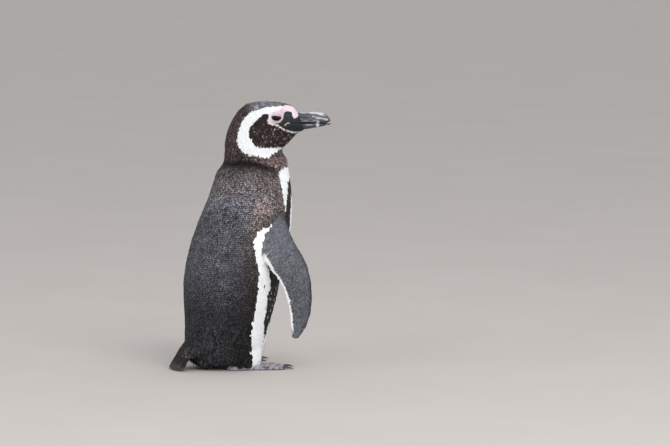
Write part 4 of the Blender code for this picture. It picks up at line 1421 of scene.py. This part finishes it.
class PENGUIN_OT_skin(bpy.types.Operator):
    """Fuses the flesh into one skin with lids, folds and the coat's markings"""

    bl_idname = "penguin.skin"
    bl_label = "Skin"

    def execute(self, context):
        sizes, hues = chosen(context)
        mesh = fused_flesh(sizes.voxel)
        if not len(mesh.vertices):
            raise RuntimeError("the flesh did not fuse")
        settle(mesh, hues)
        refine(mesh, near_face, 2)
        refine(mesh, near_feet, 1)
        sculpt_face(mesh)
        points = vertices_of(mesh)
        regions = region_numbers(points)
        tint, bare = paint(points, regions, hues, np.zeros(len(points)))
        tint = times(tint, 1.0 - 0.5 * (1.0 - bare) * ease(tint.mean(axis=1), 0.35, 0.2))
        scaly = np.isin(regions, LEGS + FEET) & (points[:, 2] < ANKLE_Z * MM)
        tint[scaly] = paint_foot(to_bird(points[scaly]), hues)
        write_attribute(mesh, "tint", "FLOAT_COLOR", tint)
        write_attribute(mesh, "region", "FLOAT", regions)
        write_attribute(mesh, "scaly", "FLOAT", scaly)
        new_piece("skin", mesh, skin_finish(), FLESH)
        return {"FINISHED"}


class PENGUIN_OT_body_coat(bpy.types.Operator):
    """Grows the feathers of the trunk, neck and head in rows"""

    bl_idname = "penguin.body_coat"
    bl_label = "Body plumage"

    def execute(self, context):
        sizes, hues = chosen(context)
        skin, seed, pitch = skin_tree(), sizes.seed, body_pitch(sizes)
        found = feather_rows(skin, body_rays(BODY_RINGS), BODY_SIDES, pitch, seed)
        roots = Roots(skin, found, pitch, (TRUNK, NECK, HEAD, TAIL), (sizes.long, sizes.wide, BODY_THICKNESS),
                      hues, seed + 1, BODY_CHART)
        finish = plumage_finish("body_plumage")
        regions, z = roots.regions, roots.bird[:, 2]
        trunk = (regions == TRUNK) | ((regions == TAIL) & (z > RUMP_Z))
        front = np.abs(round_the_body(roots.bird)[0]) < 90.0
        low = z < MIDDLE_Z
        for name, marks, slot, lift in (
            ("back", trunk & ~front & ~low, "dark_plumage", 1.0),
            ("lower_back", trunk & ~front & low, "dark_plumage", 1.0),
            ("breast", trunk & front & ~low, "white_plumage", 0.9),
            ("belly", trunk & front & low, "white_plumage", 0.9),
            ("neck", regions == NECK, "brown_plumage", 1.0),
            ("head", regions == HEAD, "brown_plumage", 0.95),
        ):
            grow_coat("coat_" + name, roots.only(marks), finish, sizes.lift * lift, sizes.ruffle, seed)
        return {"FINISHED"}


class PENGUIN_OT_limb_coat(bpy.types.Operator):
    """Grows the feathers of the flippers, legs and tail"""

    bl_idname = "penguin.limb_coat"
    bl_label = "Flipper, leg and tail plumage"

    def execute(self, context):
        sizes, hues = chosen(context)
        skin, first = skin_tree(), sizes.seed
        scales = plumage_finish("flipper_plumage_scales", 0.55, 0.35)
        soft = plumage_finish("leg_plumage")

        def grown(rays, sides, pitch, allowed, shape, seed, chart, *more):
            found = feather_rows(skin, rays, sides, pitch, first + seed)
            return Roots(skin, found, pitch, allowed, shape, hues, first + seed + 2, chart, *more)

        fine = even_pitch(sizes.flipper_pitch, sizes.flipper_pitch * 1.05)
        legs = []
        for number, (tag, side) in enumerate(SIDES):
            mirror = np.array((1.0, side, 1.0))
            line = [np.array(row[:3]) * mirror for row in FLIPPER_LINE[::-1]]
            chord, end = FLIPPER_CHORD * mirror, line[0] - line[1]

            def swept(heads, points, chord=chord, end=end):
                """Slants the feathers back from the leading edge, and along the flipper at its tip."""
                here = to_world(points)
                back, ahead = (unit(to_world(points + way) - here) for way in (chord * -2.0, end * 0.1))
                near = ease(points[:, 2], 82.0, 64.0)
                return blend(unit(heads), ahead, near) + times(0.55 * back, 1.0 - near)

            rays = limb_rays(line, chord * 25.0, FLIPPER_HALF_THICKNESS, FLIPPER_RINGS)
            roots = grown(rays, FLIPPER_SIDES, fine, WINGS[number:number + 1], FLIPPER_VANE, 5 + number,
                          FLIPPER_CHARTS[number], swept, 0.07)
            grow_coat("coat_flipper_" + tag, roots.only(roots.bird[:, 2] > FLIPPER_COAT_Z),
                      scales, sizes.lift * 0.45, sizes.ruffle * 0.5, first)

            line = [(f, side * LEG_R, z) for f, z in LEG_LINE[::-1]]
            rays = limb_rays(line, np.array((30.0, 0.0, 0.0)), 20.0, LEG_RINGS)
            roots = grown(rays, LEG_SIDES, even_pitch(*LEG_PITCH), LEGS[number:number + 1], LEG_VANE,
                          15 + number, LEG_CHARTS[number])
            legs.append(roots.only(roots.bird[:, 2] > ANKLE_Z))

        line = [(f, 0.0, z) for f, z in TAIL_LINE[::-1]]
        rays = limb_rays(line, np.array((0.0, 27.0, 0.0)), 9.0, TAIL_RINGS)
        tail = grown(rays, TAIL_SIDES, even_pitch(*TAIL_PITCH), (TAIL,), TAIL_VANE, 25, TAIL_CHART)
        quills = Roots(skin, tail_quills(), even_pitch(*QUILL_PITCH), (TRUNK, TAIL), QUILL_VANE, hues,
                       first + 29, TAIL_CHART, None, 0.15, 0.009)

        def trailed(heads, points):
            """Leans the feathers under the tail backwards."""
            return unit(heads) + 0.5 * unit(to_world(points - (2.0, 0.0, 0.0)) - to_world(points))

        rays = tuple(item[:FRINGE_RINGS] for item in body_rays(BODY_RINGS))
        fringe = grown(rays, BODY_SIDES, even_pitch(*FRINGE_PITCH), (TRUNK,), FRINGE_VANE, 31, FRINGE_CHART,
                       trailed)
        f, r, z = fringe.bird.T
        under = (z < RUMP_Z) & (f < -46.0) & (np.abs(r) < 40.0)
        for name, roots, slot, lift, ruffle in (
            ("quills", quills.only(quills.keep), "dark_plumage", math.radians(2.0), math.radians(1.0)),
            ("undertail", fringe.only(under), "dark_plumage", math.radians(12.0), math.radians(4.0)),
            ("legs", {key: np.concatenate([leg[key] for leg in legs]) for key in legs[0]}, "white_plumage",
             sizes.lift, sizes.ruffle),
            ("tail", tail.only(tail.bird[:, 2] > TAIL_COAT_Z), "dark_plumage", sizes.lift * 0.5,
             sizes.ruffle),
        ):
            grow_coat("coat_" + name, roots, soft, lift, ruffle, first)
        return {"FINISHED"}


def smooth_copy(name, levels):
    """A CAD node's copy, merged and subdivided."""
    return modified(mesh_of(merged_copy(name), name + "_copy"), "SUBSURF",
                    {"levels": levels, "render_levels": levels})


def carve_bill(bird, upper):
    """Presses the grooves of the bill's plates and the slit of the nostril, and shuts the bill."""
    f, r, z = bird.T.copy()
    if upper:
        groove = np.interp(f, (112.0, 135.0, 156.0), (416.5, 416.0, 413.0))
        depth = 0.55 * bell(z, groove, 1.0) * ease(f, 108.0, 118.0) * ease(f, 160.0, 148.0)
        nostril = 1.3 * np.exp(-((f - 127.0) / 3.4) ** 2 - ((z - 415.6) / 0.75) ** 2)
        depth = np.maximum(depth, nostril)
    else:
        groove = np.interp(f, (112.0, 150.0), (401.5, 403.0))
        depth = 0.5 * bell(z, groove, 0.9) * ease(f, 108.0, 120.0) * ease(f, 156.0, 146.0)
        z = z + 1.3 * ease(z, 401.5, 405.0) * ease(f, 112.0, 122.0)
    return np.stack([f, r - np.sign(r) * depth * ease(np.abs(r), 0.5, 2.5), z], axis=1)


def paint_bill(bird, hues, upper):
    """Dark horn with a painted highlight along the culmen and down the upper half's side, other pale strokes,
    and a pale bar across both halves.
    """
    p, z = bird[:, 0] - NECK_AXIS_F, bird[:, 2]
    streaks = waves(bird * (0.16, 0.5, 1.0), 2.6, 81)
    uneven = 0.35 * waves(bird * (0.4, 1.0, 1.0), 2.2, 84)
    colour = times(hues.bill, np.clip(1.0 + 0.65 * streaks, 0.25, 2.2))
    colour = blend(colour, hues.lores * 1.6, 0.85 * ease(p + 5.0 * streaks, 102.0, 84.0))
    for strokes, shade in ((PALE_STROKES_AND_HIGHLIGHTS, hues.bill_pale_and_highlight), (DARK_STROKES, hues.bill * 0.35)):
        for on_upper, line, width, share in strokes:
            if on_upper == upper:
                off = distance_to_line(line, p, z) + uneven
                colour = blend(colour, shade, np.clip(share * ease(off, 1.2 * width, 0.1 * width), 0.0, 1.0))
    return np.clip(colour, 0.006, 0.9)


class PENGUIN_OT_bill(bpy.types.Operator):
    """Makes both halves of the bill with their ridges, grooves and marks"""

    bl_idname = "penguin.bill"
    bl_label = "Bill"

    def execute(self, context):
        _, hues = chosen(context)
        finish = bill_finish()
        for name in ("bill_upper", "bill_lower"):
            mesh = smooth_copy(name, 3)
            upper = name == "bill_upper"
            bird = carve_bill(to_bird(vertices_of(mesh)), upper)
            place_points(mesh, to_world(bird))
            write_attribute(mesh, "tint", "FLOAT_COLOR", paint_bill(bird, hues, upper))
            write_attribute(mesh, "length", "FLOAT", bird[:, 0])
            write_attribute(mesh, "height", "FLOAT", bird[:, 2] + 0.3 * np.abs(bird[:, 1]))
            new_piece("horn_" + name, mesh, finish, (name,))
        return {"FINISHED"}


class PENGUIN_OT_eyes(bpy.types.Operator):
    """Sets a wet eye with iris and pupil between each pair of lids"""

    bl_idname = "penguin.eyes"
    bl_label = "Eyes"

    def execute(self, context):
        finish = eye_finish()
        for tag, side in SIDES:
            centre = middle_of("eye_" + tag)
            outward = to_bird(np.array([centre]))[0] + (0.0, side, 0.0)
            ahead = to_world(np.array([outward]))[0] - np.array(centre)
            turn = Vector(ahead).to_track_quat("Z", "Y").to_matrix().to_4x4()
            bm = bmesh.new()
            bmesh.ops.create_uvsphere(bm, u_segments=64, v_segments=40, radius=EYE_RADIUS * MM)
            out = bm.verts.layers.float.new("out")
            for vert in bm.verts:
                aside, front = math.hypot(vert.co.x, vert.co.y) / MM, vert.co.z > 0.0
                vert[out] = aside if front else 2.0 * EYE_RADIUS
                if front:
                    vert.co *= 1.0 + 0.03 * float(ease(aside, 7.5, 4.0))  # the bulge of the cornea
            bmesh.ops.transform(bm, matrix=turn, verts=bm.verts)
            bmesh.ops.translate(bm, vec=centre, verts=bm.verts)
            name = "wet_eye_" + tag
            new_piece(name, mesh_of(bm, name), finish, ("eye_" + tag,))
        return {"FINISHED"}


class PENGUIN_OT_claws(bpy.types.Operator):
    """Rounds the claws and gives them a horn finish"""

    bl_idname = "penguin.claws"
    bl_label = "Claws"

    def execute(self, context):
        finish = claw_finish()
        for name in sorted(name for name in NODES if name.startswith("claw_")):
            new_piece("horn_" + name, smooth_copy(name, 2), finish, (name,))
        return {"FINISHED"}


def from_angles(azimuth, elevation, distance):
    """An offset in this direction in degrees, with azimuth 0 in front of -Y."""
    azimuth, elevation = math.radians(azimuth), math.radians(elevation)
    level = math.cos(elevation) * distance
    return Vector((math.sin(azimuth) * level, -math.cos(azimuth) * level, math.sin(elevation) * distance))


def look_from(name, data, target, offset):
    """An object at an offset from its target, turned to face it."""
    made = link(name, data)
    made.location = target + offset
    made.rotation_euler = (-offset).to_track_quat("-Z", "Y").to_euler()
    return made


class PENGUIN_OT_stage(bpy.types.Operator):
    """Sets the pale floor, the soft light and the camera"""

    bl_idname = "penguin.stage"
    bl_label = "Stage"

    def execute(self, context):
        scene = context.scene
        bm = bmesh.new()
        bmesh.ops.create_grid(bm, x_segments=2, y_segments=2, size=FLOOR_SIZE)
        mesh = mesh_of(bm, "floor")
        mesh.materials.append(floor_finish())
        floor = link("floor", mesh)
        scene.world = bpy.data.worlds.new("soft_sky")
        scene.world.use_nodes = True
        sky = scene.world.node_tree.nodes["Background"]
        sky.inputs["Color"].default_value = SKY
        sky.inputs["Strength"].default_value = SKY_STRENGTH
        scene.view_settings.view_transform = "Standard"
        aim = Vector((0.0, ORIGIN_F * MM, AIM_UP))
        for name, azimuth, elevation, power, width in LAMPS:
            lamp = bpy.data.lights.new(name, "AREA")
            lamp.energy, lamp.size = power, width
            look_from(name, lamp, aim, from_angles(azimuth, elevation, LAMP_DISTANCE))
        lens = bpy.data.cameras.new("camera")
        lens.sensor_width = SENSOR
        lens.lens = SENSOR * CAMERA_DISTANCE / VIEW_WIDTH
        lens.clip_end = 200.0
        across = math.radians(CAMERA_AZIMUTH)
        aim += Vector((math.cos(across), math.sin(across), 0.0)) * AIM_RIGHT
        offset = from_angles(CAMERA_AZIMUTH, CAMERA_ELEVATION, CAMERA_DISTANCE)
        scene.camera = look_from("camera", lens, aim, offset)
        return {"FINISHED"}


OPERATORS = (
    PENGUIN_OT_skin, PENGUIN_OT_body_coat, PENGUIN_OT_limb_coat, PENGUIN_OT_bill, PENGUIN_OT_eyes,
    PENGUIN_OT_claws, PENGUIN_OT_stage,
)


class PENGUIN_PT_panel(bpy.types.Panel):
    """Lists the steps and settings of the penguin"""

    bl_idname = "PENGUIN_PT_panel"
    bl_label = "Penguin"
    bl_space_type = "VIEW_3D"
    bl_region_type = "UI"
    bl_category = "Penguin"

    def draw(self, context):
        settings = context.scene.penguin
        for group in (settings.sizes, settings.hues):
            box = self.layout.box()
            for name in names_in(group):
                box.prop(group, name)
        for operator in OPERATORS:
            self.layout.operator(operator.bl_idname)


CLASSES = (PenguinHues, PenguinSizes, PenguinSettings) + OPERATORS + (PENGUIN_PT_panel,)


def register():
    for made in CLASSES:
        bpy.utils.register_class(made)
    bpy.types.Scene.penguin = PointerProperty(type=PenguinSettings)


def unregister():
    del bpy.types.Scene.penguin
    for made in reversed(CLASSES):
        bpy.utils.unregister_class(made)


def main():
    """Builds the bird and its stage."""
    register()
    for operator in OPERATORS:
        group, name = operator.bl_idname.split(".")
        getattr(getattr(bpy.ops, group), name)()


if __name__ == "__main__":
    main()
